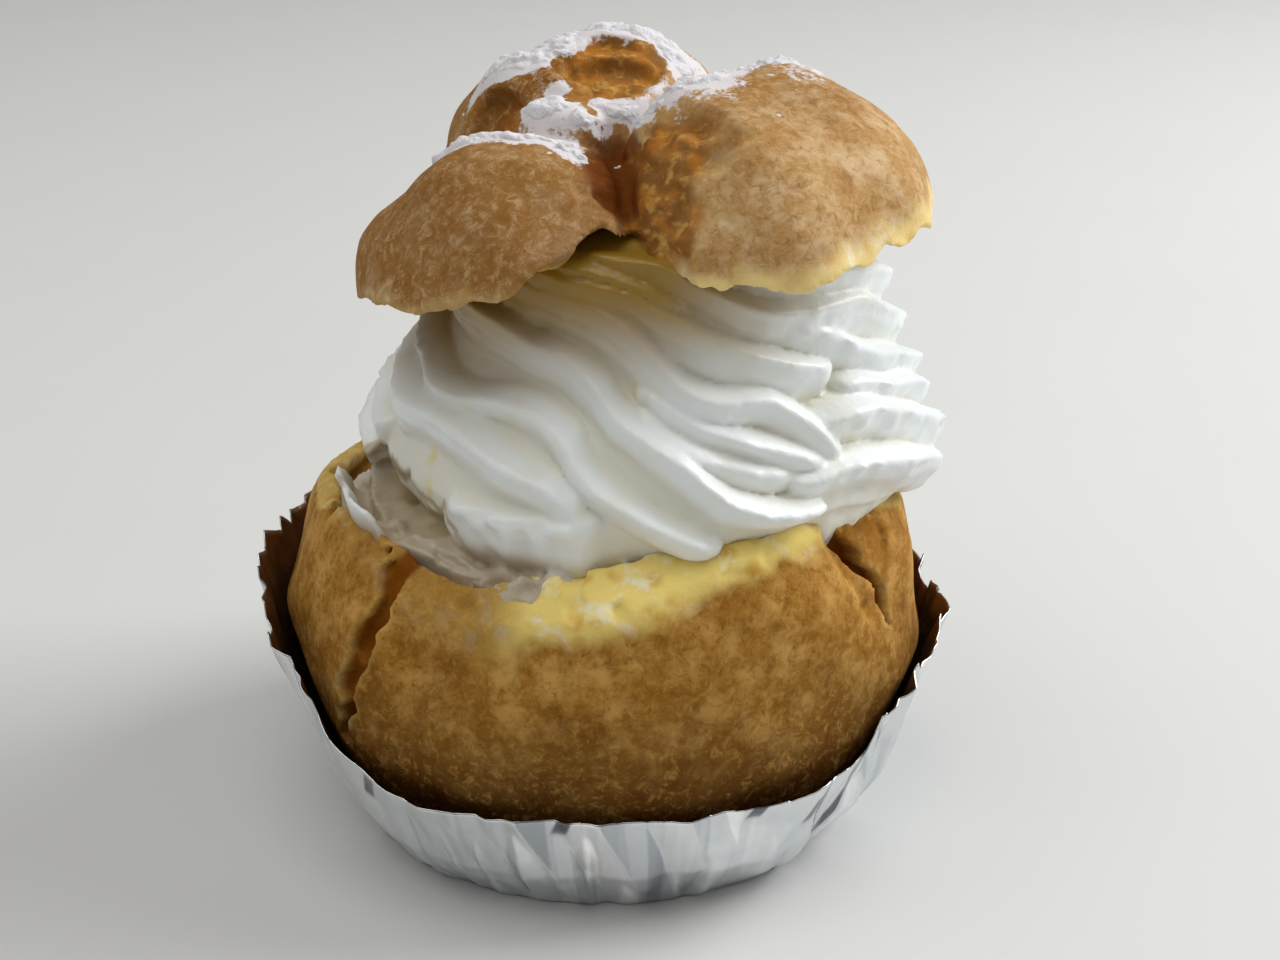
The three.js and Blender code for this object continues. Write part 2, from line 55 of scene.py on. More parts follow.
# A field is first tried at the middle of blocks of this many steps, then closely in each block that
# its skin may reach, with NEAR_SKIN to spare. Its values are cut off at FAR.
BLOCK = 4
BLOCK_REACH = 0.87
NEAR_SKIN = 2.2
FAR = 3.0
# The box in which each piece's field is worked out, as two corners, and the step.
BASE_BOX = ((-42, -41, -0.5), (43, 40, 49), 0.45)
CREAM_BOX = ((-32, -35, 6), (44, 37, 86), 0.45)
LID_BOX = ((-31, -31, 64), (42, 34, 97), 0.42)
SUGAR_BOX = ((-22, -14, 82), (27, 25, 96.5), 0.24)
FRONT_ANGLE = -90

# ---- Sizes of the foil case ----

FOIL_FLOOR_RADIUS = 32.4
FOIL_RIM_FRONT_RADIUS = 39.7
FOIL_RIM_SIDE_RADIUS = 43.2
FOIL_WALL = 0.16
FOIL_FRONT_HEIGHT = 17
FOIL_LEFT_HEIGHT = 31.5
FOIL_RIGHT_HEIGHT = 24
# The wall bends at this share of its height, and stands out by the bulge there.
FOIL_BEND_SHARE = 0.42
FOIL_BEND_BULGE = 1.1
# At the front the rim is pressed in against the crust.
FOIL_TUCK = 1.3
FOIL_COLUMNS = 1120
FOIL_ROWS = 36
FOIL_PLEATS = 42
FOIL_PLEAT_DEPTH = 0.75
FOIL_DEEPEST_FOLD = 1.3
# How many panels of each kind the sheet is crumpled into, round the whole case.
FOIL_CRUMPLES = 52
FOIL_FINE_CRUMPLES = 110
FOIL_BROAD_PANELS = 44
FOIL_NARROW_PANELS = 130
FOIL_RIM_NICKS = 60
# The random lumps of the sheet are read off round a ring of this radius.
FOIL_RING = 43
# Each pinched fold with painted shade: its angle, half its width in degrees, and the shares of the height
# it spans.
FOIL_SHADED_FOLDS = [(-95.5, 1.6, 0.9, 1.0), (-63.5, 1.6, 0.93, 1.0), (-42, 1.3, 0.35, 1.0),
                   (-51.5, 1.4, 0.7, 0.85), (-130, 1.2, 0.78, 0.95)]
# A fold leans sideways by this many degrees over the full height.
FOIL_FOLD_LEAN = 9

# ---- Sizes of the choux base ----

BASE_RADIUS = 40.3
BASE_FRONT_FLATTENING = 0.965
BASE_WIDEST_HEIGHT = 22
BASE_SPAN_ABOVE = 43
BASE_SPAN_BELOW = 34.9
BASE_UNDERSIDE = 0.85
BASE_FLOOR_HEIGHT = 8
BASE_CAVITY_RADIUS = 28
# Height of the cut lip, every 30 degrees from +X round by +Y.
LIP_HEIGHTS = [40.5, 42, 43, 43, 42.5, 41.5, 41, 42.8, 42, 44.3, 46, 45.5]
# The lip's cut face is widest, and its moist crumb shows widest, round these angles in degrees.
BEVEL_ANGLE = -106
CRUMB_ANGLE = -94
# Beside the right crack the crust's skin is gone, round this angle.
BARE_ANGLE = -33
# On the left the lip stands thin round the torn cream.
THIN_LIP_ANGLE = -160
THIN_LIP_WALL = 2.8
# Between the thin lip and the moist crumb the torn crumb is amber, round this angle.
AMBER_LIP_ANGLE = -131

# Each crack: the angle of its top, how far it wanders sideways, its top and bottom heights, its
# width at the top, how it narrows downwards (less is more abrupt) and its depth.
CRACKS = [
    {"angle": -129, "lean": -7.5, "top": 50, "bottom": 19, "width": 4.2,
     "taper": 0.25, "depth": 2.6, "seed": 5},
    {"angle": -44, "lean": 13, "top": 51, "bottom": 29, "width": 3.8,
     "taper": 0.7, "depth": 4.5, "seed": 8},
    {"angle": 74, "lean": 6, "top": 48, "bottom": 26, "width": 3.0,
     "taper": 0.6, "depth": 4, "seed": 13},
]

# ---- Sizes of the whipped cream ----

CREAM_AXIS = (6.0, 1.0)
CREAM_FLATTENING = 0.94
CREAM_LEAN = 1.4
CREAM_PLUG_RADIUS = 27
FILLING_TOP = 42.1
FILLING_BOTTOM = 38.2
# Radius of the swirl's crests at heights up its side.
CREAM_HEIGHTS = [38, 44, 48, 52, 56, 60, 64, 70, 76, 84]
CREAM_RADII = [33, 35.5, 36.4, 35, 33.2, 30.4, 28.6, 27.4, 26, 19]
# Height of the swirl's lower edge, every 30 degrees from +X round by +Y.
CREAM_SKIRT_HEIGHTS = [38, 40, 41, 41, 41, 40, 38, 37, 39, 42, 45.5, 43]
RIB_DEPTH = 4.4
RIB_SHARPNESS = 1.45
# Width of a rib's steep upper side, and of the broad face under its crest at its start and end.
RIB_UPPER = 1.4
RIB_FACE = (7.5, 7.5)
RIB_DROP_PER_TURN = 74.7
RIB_TOP = 79
# Over about this many degrees behind the left side a rib is nearly level.
RIB_EASE = 18
# Millimetres along the swirl for each degree round it, at a radius of 31.
RIB_ARC = math.radians(1) * 31
# The ribs at the front by their crests, as pixels of the 1280 by 960 picture that the camera lays on
# the swirl. One that starts or ends there has a tongue at that end, and the others run on round the
# back. A lift makes a rib stand out by more or less than RIB_DEPTH.
FRONT_RIBS = [
    {"crest": [(398, 360), (394, 385), (404, 401), (427, 416), (452, 436), (482, 457), (512, 477),
               (541, 496), (565, 518), (578, 538)], "ends": True, "face": (11, 5)},
    {"crest": [(420, 352), (424, 378), (445, 394), (480, 399), (512, 410), (540, 425), (560, 446),
               (572, 470), (592, 492), (622, 511), (662, 534), (714, 556)],
     "ends": True, "face": (7.5, 3.2)},
    {"crest": [(470, 306), (497, 322), (520, 338), (552, 353), (577, 373), (600, 400), (613, 419),
               (640, 443), (680, 471), (710, 496), (737, 512), (777, 520), (828, 519)],
     "ends": True, "face": (10, 2.2)},
    {"crest": [(540, 292), (585, 308), (625, 330), (650, 352), (668, 372), (690, 391), (725, 401),
               (768, 400), (795, 413), (822, 432), (846, 454)], "ends": True, "face": (9, 6)},
    {"crest": [(645, 403), (668, 416), (700, 432), (745, 445), (800, 458), (835, 466)],
     "starts": True, "ends": True, "face": (4.5, 3), "lift": 0.84},
    {"crest": [(640, 430), (672, 453), (705, 469), (750, 479), (800, 484)], "starts": True,
     "ends": True, "face": (5, 3.5), "lift": 0.72},
    {"crest": [(590, 285), (630, 297), (665, 318), (700, 335), (735, 350), (770, 360), (805, 366),
               (836, 369)], "ends": True, "face": (8.5, 7), "lift": 1.08},
    {"crest": [(590, 276), (640, 290), (684, 310)], "ends": True, "face": (4, 3)},
    {"crest": [(640, 262), (680, 280), (720, 298), (760, 312), (800, 316), (840, 308), (878, 301),
               (904, 312)], "face": (7, 7)},
    {"crest": [(740, 262), (800, 272), (850, 270), (884, 265)], "face": (6, 6)},
    {"crest": [(786, 331), (839, 336), (875, 350), (905, 356), (930, 357)], "starts": True, "face": (6, 6),
     "lift": 0.97},
    {"crest": [(862, 388), (885, 381), (930, 384)], "starts": True, "face": (5, 5)},
    {"crest": [(836, 426), (866, 411), (905, 407), (940, 414)], "starts": True, "face": (8, 8),
     "lift": 1.1},
    {"crest": [(815, 488), (850, 468), (890, 460), (930, 456)], "starts": True, "face": (5, 5),
     "lift": 1.05},
]
# The ribs that show only at the back, by the height at which each comes round to the left side.
BACK_RIBS = [42.5, 47.6, 52.6]
# Angle in degrees and height of the ragged edge where the swirl is torn off above the left lip.
TORN_EDGE = [(-179, 40), (-174, 46), (-168, 46.6), (-158, 46.4), (-151, 48.2), (-146, 46.2),
             (-140, 45.2), (-136, 47.4), (-132, 44.4), (-126, 42.6), (-121, 40), (-116, 38)]
TORN_DEPTH = 6
# The swirl's foot at the front left: its middle and how far it spans to both sides, in degrees.
FOOT_ANGLE = -117
FOOT_SPAN = 24
# The thin film of cream that stands up inside the left lip: radius, thickness, middle angle in
# degrees, and half the angle that it spans.
FILM_RADIUS = 31.8
FILM_WALL = 0.9
FILM_ANGLE = -158
FILM_SPAN = 17
# The smeared film of cream on the lip's crumb is widest round this angle.
SMEAR_ANGLE = -101
# The lid shades the cream except towards the light, and the torn part is darkest at the left.
LIGHT_ANGLE = 20
RECESS_ANGLE = -140

# ---- Sizes of the choux lid ----

LID_WALL = 4
# No crease, tear or hollow goes deeper into the lid's wall than this.
LID_RELIEF = 2.6
# Centre and half-sizes of each lobe.
LID_LOBES = {
    "body": ((6, 3, 66), (32, 29, 16.5)),
    "right": ((18, -2, 74), (21.3, 25.5, 18.2)),
    "left": ((-6, -6, 67), (21.8, 21.5, 19.8)),
    "rear": ((0, 12, 76), (19.5, 19.5, 18.2)),
    "middle": ((-4, 0, 80), (10, 8, 10)),
}
LID_HOLLOWS = ["body", "right", "left", "rear"]
# Height of the lid's rim, every 30 degrees from +X round by +Y about the swirl's axis.
RIM_HEIGHTS = [77.6, 76.4, 75, 74, 71.5, 69, 67.3, 70, 73.4, 74.5, 75.6, 78]
# Outline of the torn notch at the front, as x and z.
NOTCH_OUTLINE = [(0.6, 81.0), (-0.8, 79.9), (-3.8, 77), (-10.2, 73.4), (-10.2, 64),
                 (12, 64), (9.6, 74.4), (6.0, 76.4), (3.4, 78.2), (1.4, 80.2)]
# Centre and half-sizes of each place where the lid's skin is torn down to the crumb: the rear lobe's
# face, a hollow in its left side, and the crevice between the front lobes.
REAR_TEAR = ((1.6, 3.5, 92), (6.6, 7.5, 4.2))
REAR_HOLLOW = ((-13, 1.6, 86.4), (4.4, 5, 3.6))
CREVICE = ((1.8, -11, 83.5), (3.2, 8.5, 6))
# The right lobe's corner is broken off along a plane turned by this angle through this place.
BROKEN_TURN = 38
BROKEN_PLACE = (4.8, -24)
# How far right of its broken corner the right lobe's skin is torn, at heights up its front.
TORN_CORNER = [(75.5, 3.6), (79.1, 4.4), (81.7, 7.0), (84.7, 7.4), (86.8, 10.6), (88.9, 12.6)]
# It is torn only within this reach of a middle (x, y), and right of this x.
TORN_MIDDLE = (6, -16)
TORN_REACH = 12
TORN_LEFT_LIMIT = 2.5
# A small split at the left lobe's tip.
SPLIT = ((-23.6, -10.5, 68), (0.8, 5, 4.4))
# Each streak of powdered sugar: its middle line on the lid, how far it reaches to both sides, and how
# thickly it lies from 0 to 1.
SUGAR_STREAKS = [
    {"line": [(-12.5, 11, 89.8), (-9, 8.4, 91.8), (-5.5, 8.6, 93), (-5, 13, 94)],
     "reach": 3.6, "thick": 1.0},
    {"line": [(0, 15.5, 94.4), (5, 13.5, 93.8), (8.5, 10.6, 92.3), (12, 9, 91.4)],
     "reach": 3.4, "thick": 1.0},
    {"line": [(-6.9, -2.6, 89), (-3.5, -0.8, 89.9), (0.4, -0.8, 89.7), (3.4, -1.8, 88.8)],
     "reach": 2.5, "thick": 1.0},
    {"line": [(-2, -4.4, 88.2), (1.2, -3.6, 87.6)], "reach": 1.7, "thick": 0.9},
    {"line": [(-18, -3.6, 83.8), (-12.7, -5.9, 86), (-8.7, -7.4, 86.8), (-4.8, -7, 86.9),
              (-2.4, -9.8, 86.4), (0.7, -12.2, 85)], "reach": 2.3, "thick": 0.95},
    {"line": [(4.6, -4, 88.6), (8, -3, 90.4), (12, -2.5, 91.3)], "reach": 4.4, "thick": 0.8},
    {"line": [(11, 0, 91), (17, 4, 92.4), (23, 3, 91.6)], "reach": 4.4, "thick": 0.5},
]

# ---- Colours of the crust, as they show on a screen, from 0 to 255 ----

# In both, the fourth tone is painted shade low on the base and on the lid's left lobe, and also darkens
# the lid's top; the last tone is painted shade in the cracks and the crevice.
BASE_TONES = {
    "pale": (202, 155, 82), "tan": (163, 113, 41), "brown": (112, 64, 2), "painted_shade_and_dark_top": (60, 27, 0),
    "crumb": (248, 222, 130), "golden": (214, 164, 60), "amber": (160, 100, 26), "deep_shade": (126, 68, 0),
}
LID_TONES = {
    "pale": (218, 186, 142), "tan": (190, 147, 92), "brown": (134, 86, 30), "painted_shade_and_dark_top": (134, 86, 26),
    "crumb": (250, 222, 150), "golden": (214, 166, 86), "amber": (178, 114, 38), "deep_shade": (104, 48, 0),
}

# ---- Camera, light and floor ----

CAMERA_PLACE = (4.7, -212.3, 139.6)
CAMERA_PITCH = 25
CAMERA_LENS = 52.3
SENSOR_WIDTH = 36
PICTURE_WIDTH = 1280
PICTURE_HEIGHT = 960
# Places and sizes of the lights and the floor are in metres.
LIGHT_AIM = (0, 0, 0.05)
WINDOW_TINT = (0.97, 0.985, 1.0)
ROOM_TINT = (1.0, 0.99, 0.965)
ROOM_STRENGTH = 0.28
FLOOR_HALF_SIZE = 3.0


# ---- Numbers ----

def seeded_random(seed):
    """The same run of numbers from 0 to 1 for the same seed."""
    state = seed
    while True:
        state = (state * 16807) % 2147483647
        yield state / 2147483647


def unevenness(seed, wavelength):
    """Smooth unevenness about 1 high: waves of the given length in scattered directions."""
    draw = seeded_random(seed)
    waves = []
    for _ in range(9):
        turn = TURN * next(draw)
        rise = 2 * next(draw) - 1
        level = math.sqrt(1 - rise * rise)
        pace = (TURN / wavelength) * (0.75 + 0.5 * next(draw))
        phase = TURN * next(draw)
        waves.append((pace * level * math.cos(turn), pace * level * math.sin(turn), pace * rise, phase))

    def value(x, y, z):
        total = 0
        for kx, ky, kz, phase in waves:
            total = total + np.sin(kx * x + ky * y + kz * z + phase)
        return total / 3
    return value


def scattered(seed, i, j, k):
    """A random value from -1 to 1 for each place in a lattice of whole numbers."""
    code = i * np.uint32(374761393) + j * np.uint32(668265263)
    code = code + k * np.uint32(2246822519) + np.uint32(seed * 7919)
    code = (code ^ (code >> np.uint32(13))) * np.uint32(1274126177)
    code = code ^ (code >> np.uint32(16))
    return (code & np.uint32(65535)).astype(np.float32) / 32767.5 - 1


def facets(seed, u, v, around):
    """Flat panels with sharp creases, -1 to 1 high, that close after a whole number of cells in u."""
    i, j = np.floor(u), np.floor(v)
    s, t = u - i, v - j
    a, b = ((i + step) % around for step in (0, 1))
    a, b, low, high = (value.astype(np.uint32) for value in (a, b, j + 50, j + 51))
    places = ((a, low), (b, low), (a, high), (b, high))
    corners = [scattered(seed, p, q, q * np.uint32(0)) for p, q in places]
    first = corners[0] + s * (corners[1] - corners[0]) + t * (corners[2] - corners[0])
    second = corners[3] + (1 - s) * (corners[2] - corners[3]) + (1 - t) * (corners[1] - corners[3])
    return np.where(s + t < 1, first, second)


def grain(seed, size, x, y, z):
    """Smooth random lumps from -1 to 1, about `size` across."""
    px, py, pz = x / size + 500.0, y / size + 500.0, z / size + 500.0
    ix, iy, iz = np.floor(px), np.floor(py), np.floor(pz)
    fx, fy, fz = (fade(p - i) for p, i in ((px, ix), (py, iy), (pz, iz)))
    ix, iy, iz = (i.astype(np.uint32) for i in (ix, iy, iz))

    def corner(dx, dy, dz):
        return scattered(seed, ix + np.uint32(dx), iy + np.uint32(dy), iz + np.uint32(dz))

    def along(a, b, t):
        return a + (b - a) * t

    def layer(dz):
        near = along(corner(0, 0, dz), corner(1, 0, dz), fx)
        return along(near, along(corner(0, 1, dz), corner(1, 1, dz), fx), fy)

    return along(layer(0), layer(1), fz)


def lumps(x, y, z, *layers):
    """Layers of grain added up, each given as its seed, its size and its height."""
    return reduce(np.add, (height * grain(seed, size, x, y, z) for seed, size, height in layers))


def line_grain(seed, size, place):
    """Smooth random lumps along a line."""
    return grain(seed, size, place, 0 * place, 0 * place)


def fade(t):
    return t * t * t * (t * (t * 6 - 15) + 10)


def smoothstep(value, low, high):
    t = np.clip((value - low) / (high - low), 0, 1)
    return t * t * (3 - 2 * t)


def turned_from(angle, middle, turn=TURN):
    """The angle from a middle direction, from minus half a turn to half a turn."""
    return np.mod(angle - middle + turn / 2, turn) - turn / 2


def toward(angle, degrees):
    """1 in the direction given in degrees, 0 at right angles to it and -1 on the far side."""
    return np.cos(angle - math.radians(degrees))


def round_the_axis(values):
    """A value round the axis from values evenly spaced round a turn, on a smooth closed curve."""
    table = np.array(values, float)
    count = len(values)

    def value(angle):
        place = np.mod(angle / TURN, 1.0) * count
        i = np.floor(place).astype(int) % count
        t = place - np.floor(place)
        a, b, c, d = (table[(i + step) % count] for step in (-1, 0, 1, 2))
        return b + 0.5 * t * (c - a + t * (2 * a - 5 * b + 4 * c - d + t * (3 * (b - c) + d - a)))
    return value


# ---- Fields: below zero inside a shape, in millimetres ----

def joined(*fields):
    """What is inside any of the fields."""
    return reduce(np.minimum, fields)


def overlap(*fields):
    """What is inside all of the fields."""
    return reduce(np.maximum, fields)


def melted(a, b, width):
    """Two fields joined with a soft fillet."""
    share = np.clip(0.5 + 0.5 * (b - a) / width, 0, 1)
    return b * (1 - share) + a * share - width * share * (1 - share)


def cut(field, tool):
    """What is inside the field and outside the tool."""
    return np.maximum(field, -tool)


def ellipsoid(x, y, z, centre, half):
    px, py, pz = ((p - c) / h for p, c, h in zip((x, y, z), centre, half))
    near = np.sqrt(px * px + py * py + pz * pz) + 1e-6
    slope = np.sqrt((px / half[0]) ** 2 + (py / half[1]) ** 2 + (pz / half[2]) ** 2) + 1e-6
    return near * (near - 1) / slope


def outline_field(outline, u, v):
    """Distance to a closed outline in the plane, below zero inside."""
    inside = np.zeros(u.shape, bool)
    nearest = np.full(u.shape, 1e9, np.float32)
    for (u0, v0), (u1, v1) in zip(outline, outline[1:] + outline[:1]):
        du, dv = u1 - u0, v1 - v0
        t = np.clip(((u - u0) * du + (v - v0) * dv) / (du * du + dv * dv), 0, 1)
        nearest = np.minimum(nearest, np.hypot(u - u0 - t * du, v - v0 - t * dv))
        if v0 != v1:
            crosses = (v0 > v) != (v1 > v)
            inside ^= crosses & (u < u0 + (v - v0) * du / dv)
    return np.where(inside, -nearest, nearest)


def line_distance(points, x, y, z):
    """Distance to a line through points."""
    nearest = np.full(x.shape, 1e9, np.float32)
    for start, end in zip(points, points[1:]):
        step = [b - a for a, b in zip(start, end)]
        offset = [p - a for p, a in zip((x, y, z), start)]
        t = np.clip(sum(o * d for o, d in zip(offset, step)) / sum(d * d for d in step), 0, 1)
        nearest = np.minimum(nearest, sum((o - t * d) ** 2 for o, d in zip(offset, step)))
    return np.sqrt(nearest)


# ---- Meshes ----

def biggest_part(points, quads):
    """The points and faces of the largest connected part, without the scraps round it."""
    label = np.arange(len(points))
    while True:
        lowest = label[quads].min(axis=1)
        new = label.copy()
        np.minimum.at(new, quads.ravel(), np.repeat(lowest, 4))
        new = new[new]
        if np.array_equal(new, label):
            break
        label = new
    names, counts = np.unique(label[quads[:, 0]], return_counts=True)
    kept = quads[label[quads[:, 0]] == names[counts.argmax()]]
    used = np.unique(kept)
    place = np.zeros(len(points), int)
    place[used] = np.arange(len(used))
    return points[used], place[kept]


def mesh_of(name, points, faces):
    """A smooth-shaded object from points in millimetres and faces of four corners."""
    mesh = bpy.data.meshes.new(name)
    mesh.vertices.add(len(points))
    mesh.vertices.foreach_set("co", (np.asarray(points) * MM).astype(np.float32).ravel())
    mesh.loops.add(faces.size)
    mesh.loops.foreach_set("vertex_index", faces.astype(np.int32).ravel())
    mesh.polygons.add(len(faces))
    mesh.polygons.foreach_set("loop_start", np.arange(0, faces.size, 4, dtype=np.int32))
    mesh.update(calc_edges=True)
    mesh.validate()
    mesh.polygons.foreach_set("use_smooth", np.ones(len(mesh.polygons), bool))
    piece = bpy.data.objects.new(name, mesh)
    bpy.context.scene.collection.objects.link(piece)
    return piece


def points_of(piece):
    """A piece's points in millimetres."""
    co = np.zeros(len(piece.data.vertices) * 3, np.float32)
    piece.data.vertices.foreach_get("co", co)
    return co.reshape(-1, 3) / MM


def mark(piece, name, values):
    """Stores a value from 0 to 1 at each point for the materials to use."""
    attribute = piece.data.attributes.new(name, "FLOAT", "POINT")
    attribute.data.foreach_set("value", np.clip(values, 0, 1).astype(np.float32))


def mesh_from_field(name, field, low, high, step, scraps=False):
    """The skin of a field over a box in millimetres, worked out closely only near that skin.

    Loose scraps are left out unless they are wanted, as in scattered sugar.
    """
    step = step * COARSE
    low = np.array(low, np.float32)
    blocks = np.ceil((np.array(high) - low) / (step * BLOCK)).astype(int)

    def lattice(counts, gap, start):
        axes = [low[i] + start + gap * np.arange(counts[i], dtype=np.float32) for i in range(3)]
        return np.meshgrid(*axes, indexing="ij")

    middles = field(*lattice(blocks, step * BLOCK, step * (BLOCK - 1) / 2))
    near = np.abs(middles) < BLOCK_REACH * step * BLOCK + NEAR_SKIN

    def spread(values):
        for axis in range(3):
            values = np.repeat(values, BLOCK, axis)
        return values

    values = spread(np.where(middles < 0, -FAR, FAR).astype(np.float32))
    close = spread(near)
    places = [low[i] + step * index.astype(np.float32) for i, index in enumerate(np.nonzero(close))]
    values[close] = np.clip(field(*places), -FAR, FAR)
    grid = openvdb.FloatGrid(FAR)
    grid.copyFromArray(values)
    points, _, quads = grid.convertToPolygons()
    points, quads = points * step + low, quads.astype(int)
    if not scraps:
        points, quads = biggest_part(points, quads)
    return mesh_of(name, points, quads)


# ---- Foil case ----

def away_from_front(angle):
    """How far a direction is turned from the low front of the case: 0 at the front, 1 at the back."""
    return 1 - smoothstep(-np.sin(angle), 0.3, 0.86)


def foil_rim_height(angle):
    """Height of the rim without its teeth: low at the front, highest at the left."""
    middle = (FOIL_LEFT_HEIGHT + FOIL_RIGHT_HEIGHT) / 2 - FOIL_FRONT_HEIGHT
    rise = middle - np.cos(angle) * (FOIL_LEFT_HEIGHT - FOIL_RIGHT_HEIGHT) / 2
    return FOIL_FRONT_HEIGHT + rise * away_from_front(angle)


def foil_radius(angle, share):
    """Middle of the foil's wall at a share of the way up from floor to rim."""
    rim = (FOIL_RIM_SIDE_RADIUS + FOIL_RIM_FRONT_RADIUS) / 2
    rim = rim + np.cos(2 * angle) * (FOIL_RIM_SIDE_RADIUS - FOIL_RIM_FRONT_RADIUS) / 2
    bend = FOIL_FLOOR_RADIUS + (rim - FOIL_FLOOR_RADIUS) * FOIL_BEND_SHARE + FOIL_BEND_BULGE
    lower = FOIL_FLOOR_RADIUS + (bend - FOIL_FLOOR_RADIUS) * share / FOIL_BEND_SHARE
    upper = bend + (rim - bend) * (share - FOIL_BEND_SHARE) / (1 - FOIL_BEND_SHARE)
    return np.where(share < FOIL_BEND_SHARE, lower, upper)


def room_in_foil(angle, height):
    """Radius that stays free inside the foil's pleats at a height."""
    share = np.clip(height / foil_rim_height(angle), 0, 1)
    pleats = away_from_front(angle) * FOIL_PLEAT_DEPTH * FOIL_DEEPEST_FOLD
    return foil_radius(angle, share) - 0.6 - pleats


def zigzag(phase):
    """A wave of straight slopes from -1 to 1 with one crest for every whole number."""
    return 4 * np.abs(phase - np.floor(phase + 0.5)) - 1


def foil_pleats(angle, share, ring):
    """How far the zigzag pleats stand out or in, unevenly strong and unevenly far apart."""
    phase = angle / TURN * FOIL_PLEATS + 0.9 * grain(31, 12, *ring, 7 * share)
    strength = 0.7 + 0.9 * grain(32, 7, *ring, 4 * share)
    strength = np.clip(strength, 0.05, 1.4 * FOIL_DEEPEST_FOLD)
    return FOIL_PLEAT_DEPTH * (strength * zigzag(phase)) * share ** 0.4


def foil_crumples(around, share):
    """The sheet's crumples, coarse and fine."""
    coarse, fine = FOIL_CRUMPLES * around, FOIL_FINE_CRUMPLES * around
    crumple = 0.9 * facets(33, coarse, 1.3 * share + 0.2 * coarse, FOIL_CRUMPLES)
    return crumple + 0.4 * facets(34, fine, 4.3 * share - 0.15 * fine, FOIL_FINE_CRUMPLES)


def foil_panels(around, share, shift=0.0):
    """The flat panels the sheet is pressed into, about -1 to 1: broad ones with narrow ones on them."""
    broad, narrow = FOIL_BROAD_PANELS * around + shift, FOIL_NARROW_PANELS * around + shift
    panels = facets(33, broad, 1.3 * share + 0.2 * broad, FOIL_BROAD_PANELS)
    return panels + 0.35 * facets(39, narrow, 0.8 * share, FOIL_NARROW_PANELS)


def foil_painted_reflection(around, share):
    """Painted reflection: how bright each panel is, 0 to 1, by the way it slopes."""
    slope = foil_panels(around, share, 0.04) - foil_panels(around, share, -0.04)
    return 0.5 + 2.6 * slope


def foil_teeth(angle, around, ring):
    """How far the rim's torn flaps and nicks stand above its even height."""
    level = 0 * angle
    flaps = angle / TURN * FOIL_PLEATS + 0.8 * grain(36, 6, *ring, level)
    tooth = 1.6 * (flaps - np.floor(flaps) - 0.5) * (1 + 0.6 * grain(38, 4, *ring, level))
    tooth = tooth * (0.2 + 0.8 * away_from_front(angle))
    return tooth + 1.1 * facets(37, around * FOIL_RIM_NICKS, level, FOIL_RIM_NICKS)


def foil_sheet():
    """The pleated sheet: angle, share of the height, radius, height and the tone of its painted reflection
    at each of its points.
    """
    angle = np.linspace(0, TURN, int(FOIL_COLUMNS / COARSE), endpoint=False)
    a, s = np.meshgrid(angle, np.linspace(0, 1, int(FOIL_ROWS / COARSE)))
    ring = FOIL_RING * np.cos(a), FOIL_RING * np.sin(a)
    front = 1 - away_from_front(a)
    around = a / TURN + 0.003 * grain(30, 9, *ring, 9 * s)
    flap = grain(35, 5, *ring, 0 * s) * smoothstep(s, 0.6, 1)
    radius = foil_radius(a, s) + foil_pleats(a, s, ring)
    radius = radius + (foil_crumples(around, s) + 0.9 * front) * smoothstep(s, -0.15, 0.2)
    radius = radius + 0.8 * flap * (1 - 0.8 * front)
    radius = radius - FOIL_TUCK * smoothstep(s, 0.55, 1) * smoothstep(front, 0.1, 0.6)
    height = (foil_rim_height(a) + foil_teeth(a, around, ring) * (1 - 0.6 * front)) * s
    # The crust keeps the sheet out, so the panels pressed into it stand on the room it needs.
    pressed = room_in_foil(a, height) + 0.4
    pressed = pressed + smoothstep(s, -0.1, 0.3) * (1 + foil_panels(around, s))
    return a, s, np.maximum(radius, pressed), height, foil_painted_reflection(around, s)


def foil_fold_shade(angle, share):
    """1 where painted shade darkens the pinched folds of the sheet, 0 elsewhere."""
    dark = np.zeros(angle.shape)
    for place, half, low, high in FOIL_SHADED_FOLDS:
        middle = place + FOIL_FOLD_LEAN * (share - high)
        away = np.abs(turned_from(np.degrees(angle), middle, 360)) / half
        within = smoothstep(share, low - 0.06, low) * (1 - smoothstep(share, high, high + 0.04))
        dark = np.maximum(dark, within * (1 - smoothstep(away, 0.6, 1.0)))
    return dark


def make_foil():
    """The foil case: the sheet's outside and inside as rings that run down, under and up again."""
    a, s, radius, height, tone = foil_sheet()
    rows, columns = a.shape
    outside = np.stack([radius * np.cos(a), radius * np.sin(a), height], axis=-1)
    thin = radius - FOIL_WALL
    inside = np.stack([thin * np.cos(a), thin * np.sin(a), height + FOIL_WALL * (1 - s)], axis=-1)
    rings = np.concatenate([outside, inside[::-1]])
    points = rings.reshape(-1, 3)
    count = len(rings)
    here = np.arange(count - 1)[:, None] * columns + np.arange(columns)
    after = np.arange(count - 1)[:, None] * columns + (np.arange(columns) + 1) % columns
    faces = np.stack([here, after, after + columns, here + columns], axis=-1).reshape(-1, 4)
    piece = mesh_of("foil_case_sheet", points, faces)
    close_floor(piece, columns, count)
    inner = np.zeros(len(piece.data.vertices))
    inner[rows * columns:count * columns] = 1
    mark(piece, "inner", inner)
    # Painted reflection on the panels and painted shade in the pinched folds, kept on the outside only.
    for name, values in (("tone", tone), ("fold_shade", foil_fold_shade(a, s))):
        kept = np.zeros(len(piece.data.vertices))
        kept[:rows * columns] = values.ravel()
        mark(piece, name, kept)
    return piece


